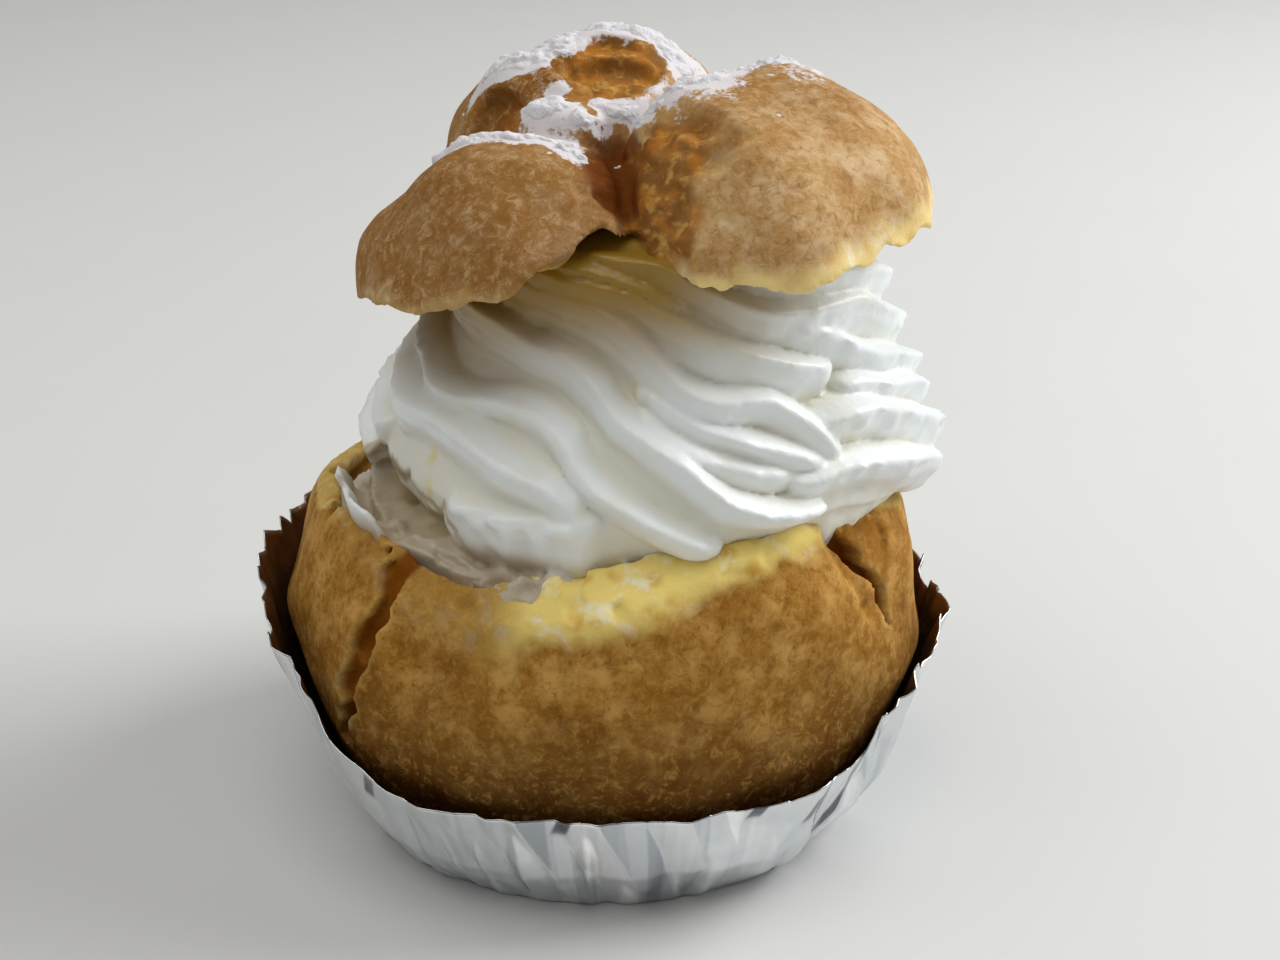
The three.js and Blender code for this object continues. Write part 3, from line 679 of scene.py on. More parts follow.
def close_floor(piece, columns, count):
    """Fills the two open rings of the foil's floor, outside and inside."""
    mesh = bmesh.new()
    mesh.from_mesh(piece.data)
    mesh.verts.ensure_lookup_table()
    starts = ((0, 0.0), ((count - 1) * columns, FOIL_WALL * MM))
    rings = [[mesh.verts[first + i] for i in range(columns)] for first, _ in starts]
    for (first, level), ring in zip(starts, rings):
        middle = mesh.verts.new((0, 0, level))
        for i in range(columns):
            pair = (ring[i], ring[(i + 1) % columns])
            face = mesh.faces.new((middle, pair[1], pair[0]) if first == 0 else (middle, *pair))
            face.smooth = True
    mesh.to_mesh(piece.data)
    mesh.free()


# ---- Choux base ----

lip_height = round_the_axis(LIP_HEIGHTS)


def lip_bevel(angle):
    """Width of the slanting cut face at the lip, widest at the front left."""
    return 1.2 + 4.3 * np.maximum(0, toward(angle, BEVEL_ANGLE)) ** 6


def base_radius(angle, height):
    """Radius of the bun without its lumps: two half-ovals, a little flat at the front."""
    span = np.where(height > BASE_WIDEST_HEIGHT, BASE_SPAN_ABOVE, BASE_SPAN_BELOW)
    slope = (height - BASE_WIDEST_HEIGHT) / span
    front = 1 - (1 - BASE_FRONT_FLATTENING) * np.sin(angle) ** 2
    lean = 1.5 * np.cos(angle) * smoothstep(height, 26, 46)
    return BASE_RADIUS * front * np.sqrt(np.clip(1 - slope * slope, 0.05, 1)) + lean


def bare_crumb(x, y, z, angle):
    """1 where the crust's right edge has lost its skin, beside the right crack."""
    side = BASE_RADIUS * turned_from(angle, math.radians(BARE_ANGLE))
    reach = 3.8 - np.abs(side) + 0.4 * (z - 37) + 1.5 * grain(43, 4, x, y, z)
    return smoothstep(reach, -0.8, 0.8) * smoothstep(z, 30, 33)


def base_wall(x, y, z, angle):
    """Radius of the crust, lumps and wrinkles included."""
    wall = base_radius(angle, z) + 0.5 * unevenness(37, 17)(x, y, z)
    wall = wall + 0.22 * grain(41, 6, x, y, z) + 0.12 * grain(42, 2.6, x, y, z)
    bare = bare_crumb(x, y, z, angle)
    pits = lumps(x, y, z, (44, 1.9, 0.3), (47, 0.9, 0.3)) - 0.6
    wall = wall + bare * pits
    rim = foil_rim_height(angle)
    free = 1.5 * smoothstep(z, rim - 1.5, rim + 3)
    return np.where(z < rim + 3, np.minimum(wall, room_in_foil(angle, z) + free), wall)


def crack_width(place, angle, z):
    """Half the width of a crack at the crust, with torn edges, and how far a point is from its middle."""
    share = np.clip((place["top"] - z) / (place["top"] - place["bottom"]), 0, 1.3)
    side = BASE_RADIUS * turned_from(angle, math.radians(place["angle"])) - place["lean"] * share
    ragged = line_grain(place["seed"], 6.0, z) + 0.6 * line_grain(place["seed"] + 1, 2.4, z)
    side = side - 0.9 * ragged
    half = 0.5 * place["width"] * np.clip(1 - share, 0, 1) ** place["taper"]
    torn = grain(place["seed"] + 2, 1.5, z, np.sign(side) * 9, 0 * z)
    return half * (1 + 0.5 * torn), np.abs(side)


def crack_field(place, x, y, z, angle, wall, r):
    """A tear in the crust with steep ragged sides and a rough floor."""
    half, side = crack_width(place, angle, z)
    depth = wall - r
    floor = place["depth"] * (0.75 + 0.25 * grain(place["seed"] + 3, 2.5, x, y, z))
    steep = side - half * np.clip(1.15 - 0.3 * depth / place["depth"], 0, 1.2)
    return overlap(steep, depth - floor, place["bottom"] - z)


def lip_slant(angle, depth):
    """Height of the cut lip at a depth into the wall: a slant, then nearly level."""
    bevel = lip_bevel(angle)
    slant = lip_height(angle) - 0.8 * bevel * (1 - np.clip(depth / (0.65 * bevel), 0, 1)) ** 1.3
    return slant - 0.18 * np.clip(depth - 0.65 * bevel, 0, 9)


def lip_surface(angle, depth):
    """The cut lip, with a step down inside the thin part of it on the left."""
    sunk = 3.6 * np.clip(toward(angle, THIN_LIP_ANGLE), 0, 1) ** 2
    return lip_slant(angle, depth) - sunk * smoothstep(depth, THIN_LIP_WALL - 0.8, THIN_LIP_WALL + 1.4)


def lip_crumb(x, y, z):
    """Torn crumb on the cut lip: lumps with small air holes."""
    holes = smoothstep(grain(53, 2.4, x, y, z), 0.25, 0.6)
    return 0.55 * lumps(x, y, z, (51, 3.4, 0.7), (52, 1.3, 0.5)) - 1.4 * holes


def base_field(x, y, z):
    """The lower bun: its wall, hollow inside, with the lip cut and the cracks torn."""
    angle = np.arctan2(y, x)
    r = np.hypot(x, y)
    wall = base_wall(x, y, z, angle)
    top = lip_surface(angle, wall - r) + lip_crumb(x, y, z)
    field = overlap(r - wall, z - top, BASE_UNDERSIDE - z)
    cavity = BASE_CAVITY_RADIUS + 1 - 4 * np.clip((40 - z) / 30, 0, 1)
    field = cut(field, np.maximum(r - cavity, BASE_FLOOR_HEIGHT - z))
    for place in CRACKS:
        field = cut(field, crack_field(place, x, y, z, angle, wall, r))
    return field


def make_base():
    piece = mesh_from_field("choux_base_crust", base_field, *BASE_BOX)
    x, y, z = points_of(piece).T
    angle = np.arctan2(y, x)
    r = np.hypot(x, y)
    wall = base_wall(x, y, z, angle)
    deep_shade, ragged = crack_marks(x, y, z, angle, wall - r)
    left = smoothstep(toward(angle, AMBER_LIP_ANGLE), 0.87, 0.98)
    crumb = lip_crumb_mark(x, y, z, angle) * (1 - 0.85 * left)
    moist = 0.4 + 0.6 * smoothstep(toward(angle, FRONT_ANGLE), 0.35, 0.75)
    mark(piece, "crumb", np.maximum(crumb * moist, 0.15 * ragged))
    # Painted shade inside the cracks, where the torn crumb also shows.
    mark(piece, "deep_shade", deep_shade)
    torn = np.maximum(deep_shade, 0.45 * bare_crumb(x, y, z, angle))
    mark(piece, "torn", np.maximum(torn, 1.4 * crumb * left))
    # Painted shade: the crust darker towards the bottom.
    mark(piece, "painted_shade_and_dark_top", 0.95 * smoothstep(z, 36, 12))
    return piece


def lip_crumb_mark(x, y, z, angle):
    """1 on the slant of the lip, fading out down the crust, farthest at the front."""
    below_lip = lip_surface(angle, 0 * z) - z
    width = 0.35 + 2.1 * np.maximum(0, toward(angle, CRUMB_ANGLE)) ** 5
    width = width * (1 + 0.6 * grain(61, 6, x, y, z)) + 0.5 * grain(62, 1.5, x, y, z)
    width = np.maximum(width, 0.1)
    return 1 - smoothstep(below_lip, 0 * width, 2.3 * width)


def crack_marks(x, y, z, angle, depth):
    """1 inside the cracks, where their torn crumb and painted shade go, and 1 along their ragged edges."""
    deep_shade, ragged = np.zeros(len(x)), np.zeros(len(x))
    for place in CRACKS:
        half, side = crack_width(place, angle, z)
        inside = smoothstep(depth, 0.4, 2.0) * (1 - smoothstep(side - half, 0, 1.2))
        deep_shade = np.maximum(deep_shade, inside * (z > place["bottom"] - 2))
        edge = 1 - smoothstep(np.abs(side - half - 0.3), 0.2, 0.9)
        ragged = np.maximum(ragged, edge * (z > place["bottom"] + 2) * (z < 40))
    return deep_shade, ragged


# ---- Whipped cream ----

cream_skirt_height = round_the_axis(CREAM_SKIRT_HEIGHTS)
rim_height = round_the_axis(RIM_HEIGHTS)


def cream_radius(height):
    """Radius of the crests at a height."""
    return np.interp(height, CREAM_HEIGHTS, CREAM_RADII)


def cream_lean(height):
    """How far the swirl's upper part leans to the right."""
    return CREAM_LEAN * smoothstep(height, 50, 62)


def on_swirl(u, v):
    """Angle in degrees and height where the camera's line through a pixel meets the swirl."""
    pitch = math.radians(CAMERA_PITCH)
    focal = CAMERA_LENS / SENSOR_WIDTH * PICTURE_WIDTH
    right, up = (u - PICTURE_WIDTH / 2) / focal, (PICTURE_HEIGHT / 2 - v) / focal
    ray = (right, math.cos(pitch) + up * math.sin(pitch), up * math.cos(pitch) - math.sin(pitch))
    x, y, z = (start + step * np.linspace(150, 270, 1201) for start, step in zip(CAMERA_PLACE, ray))
    x = x - CREAM_AXIS[0] - cream_lean(z)
    y = (y - CREAM_AXIS[1]) / CREAM_FLATTENING
    gap = np.hypot(x, y) - cream_radius(z)
    i = int(np.argmax(gap < 0)) if (gap < 0).any() else int(gap.argmin())
    angle = math.degrees(math.atan2(y[i], x[i]))
    return (angle - 360 if angle > 90 else angle), z[i]


def smooth_line(points):
    """A dense smooth line through points, going one way round."""
    points = np.array([points[0]] + points + [points[-1]], float)
    parts = []
    for a, b, c, d in zip(points, points[1:], points[2:], points[3:]):
        t = np.linspace(0, 1, 12, endpoint=False)[:, None]
        parts.append(b + 0.5 * t * (c - a + t * (2 * a - 5 * b + 4 * c - d + t * (3 * (b - c) + d - a))))
    line = np.concatenate(parts + [points[-1:]])
    line[:, 0] = np.maximum.accumulate(line[:, 0]) + 0.001 * np.arange(len(line))
    return line


def rib_lines():
    """Every rib as (angles, heights, face, lift, seed), from where it shows to where it ends."""
    drop = RIB_DROP_PER_TURN / 360
    ribs = []
    for number, rib in enumerate(FRONT_RIBS):
        line = smooth_line([on_swirl(*pixel) for pixel in rib["crest"]])
        if not rib.get("starts"):
            back = np.arange(max(0.0, (RIB_TOP - line[0, 1]) / drop) + RIB_EASE, 0, -4)
            climb = drop * (back - RIB_EASE * (1 - np.exp(-back / RIB_EASE)))
            line = np.concatenate([np.stack([line[0, 0] - back, line[0, 1] + climb], axis=1), line])
        if not rib.get("ends"):
            fall = np.arange(4.0, 160, 4)[:, None]
            tail = line[-1] + fall * (1, -drop)
            tail = tail[tail[:, 1] > cream_skirt_height(np.radians(tail[:, 0]))]
            line = np.concatenate([line, tail])
        ribs.append((line[:, 0], line[:, 1], rib["face"], rib.get("lift", 1.0), 100 + 7 * number))
    for number, height in enumerate(BACK_RIBS):
        angle = np.arange(180 - (RIB_TOP - height) / drop, 191.0)
        level = height + drop * (180 - angle)
        shown = level > cream_skirt_height(np.radians(angle))
        ribs.append((angle[shown], level[shown], RIB_FACE, 1.0, 300 + 7 * number))
    return ribs


def rib_field(rib, angle, r, z):
    """One rib: a rope laid down the swirl, steep above its crest, with a broad face under it."""
    angles, levels, face, lift, seed = rib
    start, end = angles[0], angles[-1]
    result = np.full(angle.shape, 9.0, np.float32)
    for turn in (-360, 0, 360):
        turned = angle + turn
        near = (turned > start - 14) & (turned < end + 14)
        above = z[near] - np.interp(turned[near], angles, levels)
        near[near] = (above < 8) & (above > -1.5 * max(face) - 4)
        if not near.any():
            continue
        here = turned[near]
        middle = np.interp(here, angles, levels)
        radius = cream_radius(middle) - RIB_DEPTH
        slope = (np.interp(here + 1.5, angles, levels) - np.interp(here - 1.5, angles, levels)) / 3
        slope = slope / RIB_ARC
        arc = np.radians(here) * radius
        across = (z[near] - middle) / np.sqrt(1 + slope * slope)
        across = across + 0.45 * grain(seed + 1, 7, arc, 0.3 * across, 0 * arc)
        out = r[near] - radius
        share = np.clip((here - start) / (end - start), 0, 1)
        taper = np.clip(np.minimum(9 * share, 9 * (1 - share)), 0, 1)
        size = (0.74 + 0.26 * np.sqrt(taper)) * (1 + 0.07 * line_grain(seed, 12, arc))
        level = np.abs(out) / (RIB_DEPTH * lift * size)
        width = face[0] + (face[1] - face[0]) * share ** 2
        side = np.where(across > 0, across / RIB_UPPER, -across / (width * size))
        oval = (level ** RIB_SHARPNESS + side ** RIB_SHARPNESS) ** (1 / RIB_SHARPNESS)
        torn = smoothstep(line_grain(seed + 3, 9, arc) + 0.3, 0.0, 0.5)
        torn = torn * smoothstep(level, 0.6, 0.95) * (0.15 + 0.85 * smoothstep(here, -95, -70))
        tears = 0.17 * torn * np.maximum(grain(seed + 4, 1.3, arc, across * 0.9, 0 * arc), -0.3)
        grooves = 0.035 * np.cos(across * 3.1 + 2 * line_grain(seed + 2, 9, arc))
        past = np.clip(np.maximum(start - here, here - end), 0, 99) * RIB_ARC
        field = (oval - 1) * 2.2
        field = np.where(past > 0, np.hypot(np.maximum(field + 1.6, 0), past) - 1.6, field)
        result[near] = np.minimum(result[near], field - grooves - tears)
    return result


def cream_field(x, y, z, ribs):
    """The swirl of ribs on its body, its torn foot, and the cream that fills the bun."""
    smears = joined(cream_smears(x, y, z), cream_film(x, y, z), filling(x, y, z))
    y = (y - CREAM_AXIS[1]) / CREAM_FLATTENING
    x = x - CREAM_AXIS[0]
    plug = np.maximum(np.hypot(x, y) - CREAM_PLUG_RADIUS, BASE_FLOOR_HEIGHT - z)
    x = x - cream_lean(z)
    angle = np.arctan2(y, x)
    r = np.hypot(x, y)
    skirt = cream_skirt_height(angle) + 2
    body = np.maximum(r - (cream_radius(z) - 0.85 * RIB_DEPTH), skirt - z)
    top = z - 77 - 7 * np.clip(1 - r / 22, 0, 1)
    field = np.maximum(body, top)
    degrees = np.degrees(angle)
    for rib in ribs:
        field = joined(field, rib_field(rib, degrees, r, z))
    field = cut(np.maximum(field, top), torn_recess(x, y, z, degrees, r))
    field = melted(field, swirl_foot(x, y, z, degrees, r), 1.5)
    field = joined(field, np.maximum(plug, z - 41), smears)
    return field + 0.12 * grain(71, 6, x, y, z) + 0.06 * grain(72, 1.8, x, y, z)


def swirl_foot(x, y, z, degrees, r):
    """The flank that runs down from the lowest rib to the lip at the front left."""
    away = np.abs(degrees - FOOT_ANGLE)
    reach = cream_radius(z) - 1.4 - 3.2 * smoothstep(away, 0.5 * FOOT_SPAN, FOOT_SPAN)
    rough = lumps(x, y, z, (98, 4.5, 0.8), (99, 1.8, 0.4))
    return overlap(r - reach - rough, z - 49, 41 - z)


def filling(x, y, z):
    """The cream that fills the bun up to its lip, a little sunk and uneven beside the swirl."""
    rough = lumps(x, y, z, (79, 5.5, 1.1), (80, 2.2, 0.8))
    angle, r = np.arctan2(y, x), np.hypot(x, y)
    reach = BASE_CAVITY_RADIUS + 1.2 + 3.6 * np.clip(toward(angle, THIN_LIP_ANGLE), 0, 1) ** 6
    over_lip = lip_slant(angle, base_radius(angle, z) - r) - 0.5
    top = np.where(r > BASE_CAVITY_RADIUS + 1, np.minimum(FILLING_TOP, over_lip), FILLING_TOP)
    return overlap(r - reach, z - top + rough, FILLING_BOTTOM - z)


def torn_recess(x, y, z, degrees, r):
    """Below zero where the swirl's foot is torn away under its ragged edge, on the left."""
    edge = np.interp(degrees, *zip(*TORN_EDGE))
    ragged = lumps(x, y, z, (75, 3.2, 1.2), (76, 1.5, 0.9))
    back = cream_radius(z) - TORN_DEPTH + 1.2 * grain(74, 5, x, y, z)
    return np.maximum(z - edge + ragged, back - r)


def cream_film(x, y, z):
    """A thin ragged film of cream standing inside the thin lip."""
    turned = turned_from(np.degrees(np.arctan2(y, x)), FILM_ANGLE, 360)
    share = np.clip(1 - (turned / FILM_SPAN) ** 2, 0, 1)
    top = 41.5 + 4.6 * np.sqrt(share) + 0.9 * grain(73, 3.5, x, y, 0 * z) + 0.5 * grain(78, 1.4, x, y, z)
    lean = 0.35 * (z - 42) + 0.7 * grain(77, 4, x, y, z)
    sheet = np.abs(np.hypot(x, y) - FILM_RADIUS - lean) - FILM_WALL / 2
    return overlap(sheet, z - top, 39 - z, 0.6 * (np.abs(turned) - FILM_SPAN))


def cream_smears(x, y, z):
    """A thin smeared film of cream on the crumb of the lip."""
    angle, r = np.arctan2(y, x), np.hypot(x, y)
    wall = base_radius(angle, z)
    top = lip_surface(angle, wall - r) + lip_crumb(x, y, z)
    turned = np.abs(np.degrees(angle) - SMEAR_ANGLE)
    reach = 0.45 - turned / 32 - 0.7 * np.maximum(r - 31.6, 0)
    thick = 0.5 * (reach + 1.2 * grain(45, 4.5, x, y, z) + 1.1 * grain(46, 1.7, x, y, z))
    film = np.maximum(z - top - np.clip(thick, -1, 0.6), 0.3 * (0.06 - thick))
    return overlap(film, top - 1.2 - z, r - 34, y + 12)


def make_cream():
    ribs = rib_lines()

    def field(x, y, z):
        return cream_field(x, y, z, ribs)

    piece = mesh_from_field("cream_swirl", field, *CREAM_BOX)
    x, y, z = points_of(piece).T
    px, py = x - CREAM_AXIS[0] - cream_lean(z), (y - CREAM_AXIS[1]) / CREAM_FLATTENING
    sunk = cream_radius(z) - np.hypot(px, py)
    # Painted shade in the valleys between the ribs.
    mark(piece, "valley_shade", smoothstep(sunk, 0.9, 3.8))
    turn = np.arctan2(py, px)
    under_lid = smoothstep(z - rim_height(turn), -15, 0)
    under_lid = under_lid * smoothstep(-toward(turn, LIGHT_ANGLE), -0.5, 0.4)
    torn = torn_recess(x, y, z, np.degrees(turn), cream_radius(z) - sunk)
    shade = np.maximum(under_lid, 0.6 * (1 - smoothstep(np.abs(torn), 0.3, 1.2)))
    left = smoothstep(toward(np.arctan2(y, x), RECESS_ANGLE), 0.5, 0.85)
    mark(piece, "shade", np.maximum(shade, 0.7 * (1 - smoothstep(z, 42, 45.5)) * left))
    return piece


# ---- Choux lid ----

def lobe_field(name, x, y, z, grow=0.0):
    """One lobe of the lid, a little uneven, grown by a distance."""
    centre, half = LID_LOBES[name]
    swell = 1 + 0.03 * unevenness(53, 15)(x, y, z)
    px, py, pz = ((p - c) / swell + c for p, c in zip((x, y, z), centre))
    return ellipsoid(px, py, pz, centre, [h + grow for h in half])


def broken_plane(x, y):
    """Distance past the plane that takes the right lobe's corner off."""
    turn = math.radians(BROKEN_TURN)
    return (x - BROKEN_PLACE[0]) * math.cos(turn) + (y - BROKEN_PLACE[1]) * math.sin(turn)


def broken_face(x, y, z):
    """Below zero where the corner is off, with a rough break, down to the lobe's foot."""
    torn = lumps(x, y, z, (81, 4.5, 1.2), (82, 1.8, 0.6))
    return np.maximum(broken_plane(x, y) + torn, 72 - z)


def rim_cut(x, y, z):
    """Below zero under the lid's ragged rim."""
    x, y = x - CREAM_AXIS[0], y - CREAM_AXIS[1]
    angle = np.arctan2(y, x)
    r = np.hypot(x, y)
    level = rim_height(angle) + 0.45 * unevenness(71, 7)(33 * np.cos(angle), 33 * np.sin(angle), 0)
    level = level + 0.5 * grain(83, 1.9, x, y, z) + 0.3 * grain(84, 0.9, x, y, z)
    return z - (72 + (level - 72) * np.clip(r / 16, 0, 1))


def notch_field(x, y, z):
    """The torn notch between the front lobes, worked out only near it."""
    wander = lumps(x, y, z, (85, 3.5, 0.8), (86, 1.4, 0.5))
    field = np.full(x.shape, 9.0, np.float32)
    near = (y < -7) & (np.abs(x - 1) < 16)
    field[near] = outline_field(NOTCH_OUTLINE, x[near], z[near]) + wander[near]
    return np.maximum(field, y + 10)


def lid_outside(x, y, z):
    """The lobes grown together, creased where two of them meet and rough where they are torn."""
    lobes = {name: lobe_field(name, x, y, z) for name in LID_LOBES}
    lobes["right"] = cut(lobes["right"], broken_face(x, y, z))
    first, second = np.sort(np.stack(list(lobes.values())), axis=0)[:2]
    depth = 1.0 + 1.6 * smoothstep(-ellipsoid(x, y, z, *CREVICE), -2, 1)
    crease = depth * np.exp(-((second - first) / 1.4) ** 2)
    rough = smoothstep(-torn_distance(x, y, z), -0.6, 0.8)
    skin = lumps(x, y, z, (87, 5.5, 0.2), (88, 2.2, 0.1))
    crumb = lumps(x, y, z, (90, 2.4, 0.7), (91, 1.1, 0.45))
    crumb = crumb + 0.9 + 1.5 * smoothstep(grain(97, 4.5, x, y, z), 0.1, 0.5)
    hollow = ellipsoid(x, y, z, *REAR_HOLLOW) + 0.5 * grain(93, 2.5, x, y, z)
    relief = cut(first + crease + skin + rough * crumb, hollow)
    return np.minimum(relief, first + LID_RELIEF)


def torn_distance(x, y, z):
    """How far the skin is from the torn crumb, below zero on it."""
    corner = broken_plane(x, y) - np.interp(z, *zip(*TORN_CORNER)) + 1.3 * grain(92, 4, x, y, z)
    away = np.hypot(x - TORN_MIDDLE[0], y - TORN_MIDDLE[1])
    corner = overlap(corner, away - TORN_REACH, TORN_LEFT_LIMIT - x)
    uneven = lumps(x, y, z, (100, 3, 0.9), (101, 1.2, 0.5))
    places = (ellipsoid(x, y, z, *place) + uneven for place in (REAR_TEAR, REAR_HOLLOW, CREVICE))
    return joined(corner, *places)


def lid_field(x, y, z):
    """The lid as a thin shell over the cream, with its rim, split and notch torn."""
    field = lid_outside(x, y, z)
    for name in LID_HOLLOWS:
        field = cut(field, lobe_field(name, x, y, z, -LID_WALL) + 0.5 * grain(89, 3, x, y, z))
    field = cut(field, rim_cut(x, y, z))
    field = cut(field, ellipsoid(x, y, z, *SPLIT) + 0.4 * grain(95, 1.5, x, y, z))
    return cut(field, notch_field(x, y, z))


def make_lid():
    piece = mesh_from_field("choux_lid_crust", lid_field, *LID_BOX)
    x, y, z = points_of(piece).T
    width = 2.2 + 1.8 * smoothstep(x, 10, 28)
    rim = 1 - smoothstep(rim_cut(x, y, z) + 0.7 * grain(94, 3, x, y, z), 0.0, width)
    rim = rim * (0.3 + 0.7 * smoothstep(x, -4, 10))
    torn = torn_distance(x, y, z)
    ragged = 1 - smoothstep(np.abs(torn - 0.3), 0.2, 0.9)
    mark(piece, "crumb", np.maximum(rim, 0.16 * ragged * (x > 4) * (z < 90)))
    mark(piece, "torn", 1 - smoothstep(torn, -0.7, 0.7))
    # Painted shade in the crevice between the front lobes.
    mark(piece, "deep_shade", 1 - smoothstep(ellipsoid(x, y, z, *CREVICE) + grain(96, 3, x, y, z), -1.2, 1.8))
    # Painted shade on the left lobe, away from the light, and darker on the lid's top.
    mark(piece, "painted_shade_and_dark_top", 0.7 * smoothstep(-x, -5, 5) + 0.45 * smoothstep(z, 86, 92))
    mark(piece, "sugar", sugar_cover(x, y, z, 1.7))
    mark(piece, "inside", smoothstep(-lid_outside(x, y, z), 1.0, 2.6))
    return piece


# ---- Powdered sugar ----

def sugar_cover(x, y, z, spread=1.0):
    """How thickly the sugar lies, from 0 to about 1: streaks on what faces up and isn't torn."""
    cover = np.zeros(x.shape, np.float32)
    wander = 0.3 * grain(106, 3.2, x, y, z)
    for streak in SUGAR_STREAKS:
        away = line_distance(streak["line"], x, y, z) / (streak["reach"] * spread) + wander
        cover = np.maximum(cover, streak["thick"] * (1 - smoothstep(away, 0.35, 1.1)))
    facing = lid_outside(x, y, z + 0.6) - lid_outside(x, y, z - 0.6)
    cover = cover * smoothstep(facing, 0.1, 0.9)
    return cover * smoothstep(torn_distance(x, y, z) + 1.4 * grain(102, 2.6, x, y, z), -0.4, 0.9)


def sugar_field(x, y, z):
    """The powder: a clumped layer on the lid's skin, that breaks up into grains at its edges."""
    skin = lid_outside(x, y, z)
    clumps = lumps(x, y, z, (103, 2.2, 0.4), (104, 1.1, 0.6), (105, 0.6, 0.7))
    thick = 0.6 * (sugar_cover(x, y, z) * 1.3 - 0.72 + 0.75 * clumps)
    field = np.maximum(skin - thick, -0.3 - skin)
    field = cut(field, notch_field(x, y, z) - 0.3)
    return cut(field, rim_cut(x, y, z))


def make_sugar():
    return mesh_from_field("sugar_dusting", sugar_field, *SUGAR_BOX, scraps=True)


# ---- Materials ----

def colour(red, green, blue):
    """A colour as shown on a screen, from 0 to 255, as the light that it stands for."""
    def linear(value):
        value = value / 255
        return value / 12.92 if value <= 0.04045 else ((value + 0.055) / 1.055) ** 2.4
    return (linear(red), linear(green), linear(blue), 1.0)


class Material:
    """A procedural material: each call adds a node, linked to the values it is given."""

    def __init__(self, name, **inputs):
        self.material = bpy.data.materials.new(name)
        self.material.use_nodes = True
        self.tree = self.material.node_tree
        self.place = self.add("TexCoord").outputs["Object"]
        self.set(**inputs)

    def put(self, socket, value):
        """Links a node's output to a socket, or sets the socket to a plain value."""
        if isinstance(value, bpy.types.NodeSocket):
            self.tree.links.new(value, socket)
        else:
            socket.default_value = value

    def fill(self, node, inputs):
        """Puts values into a node's inputs by their names, with _ for each space."""
        for name, value in inputs.items():
            self.put(node.inputs[name.replace("_", " ")], value)
        return node

    def set(self, **inputs):
        """Puts values into the shader's inputs."""
        self.fill(self.tree.nodes["Principled BSDF"], inputs)

    def add(self, kind, **inputs):
        return self.fill(self.tree.nodes.new("ShaderNode" + kind), inputs)

    def noise(self, size, detail=3.0, distortion=0.0, rough=0.55):
        """Noise from 0 to 1 with lumps of a size in millimetres."""
        scale = 1 / (size * MM)
        node = self.add("TexNoise", Scale=scale, Detail=detail, Roughness=rough, Distortion=distortion)
        self.put(node.inputs["Vector"], self.place)
        return node.outputs["Fac"]

    def cells(self, size):
        """Distance from the middle of scattered cells of a size in millimetres."""
        return self.add("TexVoronoi", Vector=self.place, Scale=1 / (size * MM)).outputs["Distance"]

    def marked(self, name):
        """A value that mark() stored at the piece's points."""
        node = self.add("Attribute")
        node.attribute_name = name
        return node.outputs["Fac"]

    def ramp(self, value, low, high):
        """0 below low, 1 above high, smooth between."""
        node = self.add("MapRange", Value=value, From_Min=low, From_Max=high)
        node.interpolation_type = "SMOOTHSTEP"
        return node.outputs["Result"]

    def math(self, kind, a, b):
        node = self.add("Math")
        node.operation = kind
        self.put(node.inputs[0], a)
        self.put(node.inputs[1], b)
        return node.outputs["Value"]

    def mix(self, a, b, share, strength=1.0):
        """Colour a, going over to colour b by a share from 0 to 1 times a strength."""
        if strength != 1.0:
            share = self.math("MULTIPLY", share, strength)
        node = self.add("Mix")
        node.data_type = "RGBA"
        self.put(node.inputs[0], share)
        self.put(node.inputs[6], a)
        self.put(node.inputs[7], b)
        return node.outputs[2]

    def bump(self, height, distance, strength=1.0, under=None):
        """A normal raised by a height of 0 to 1, given the distance that 1 stands for."""
        node = self.add("Bump", Height=height, Distance=distance * MM, Strength=strength)
        if under is not None:
            self.put(node.inputs["Normal"], under)
        return node.outputs["Normal"]


def crust_skin(look, tones, fibres, blotches):
    """Mottled tan skin with painted shade low down and on the lid's left lobe, pale and dark fibres and
    dark spots.
    """
    skin = look.mix(tones["tan"], tones["pale"], look.ramp(look.noise(4.5, 6.0, rough=0.65), 0.42, 0.66))
    skin = look.mix(skin, tones["brown"], look.ramp(look.noise(6, 5.0), 0.5, 0.75), blotches)
    # Painted shade low on the base and on the lid's left lobe, and darker on the lid's top.
    skin = look.mix(skin, tones["painted_shade_and_dark_top"], look.marked("painted_shade_and_dark_top"))
    skin = look.mix(skin, tones["pale"], look.ramp(fibres, 0.48, 0.67), 0.52)
    skin = look.mix(skin, tones["brown"], look.ramp(fibres, 0.5, 0.36), 0.5)
    return look.mix(skin, tones["brown"], look.ramp(look.noise(2.3, 3.0), 0.66, 0.74), 0.5)


def moist_crumb(look, tones):
    """Yellow crumb with golden bubbles and pale patches."""
    bubbles = look.ramp(look.cells(3.2), 0.5, 0.1)
    bubbles = look.math("MULTIPLY", bubbles, look.ramp(look.noise(6, 2.0), 0.4, 0.6))
    crumb = look.mix(tones["crumb"], tones["golden"], bubbles, 0.8)
    return look.mix(crumb, colour(252, 242, 204), look.ramp(look.noise(2.6, 4.0), 0.5, 0.72))


def torn_crumb(look, tones):
    """Amber and brown crumb with golden flecks."""
    torn = look.mix(tones["amber"], tones["brown"], look.ramp(look.noise(2.6, 4.0), 0.36, 0.6))
    return look.mix(torn, tones["golden"], look.ramp(look.noise(1.5, 5.0), 0.5, 0.7), 0.75)


def sugar_specks(look):
    """1 on the specks of sugar round the powder, closer together where more of it lies."""
    specks = look.math("MULTIPLY", look.noise(0.5, 3.0), 1.2)
    specks = look.math("ADD", specks, look.noise(1.6, 3.0))
    covered = look.math("MULTIPLY", look.marked("sugar"), 1.3)
    return look.ramp(look.math("ADD", specks, covered), 1.42, 1.8)


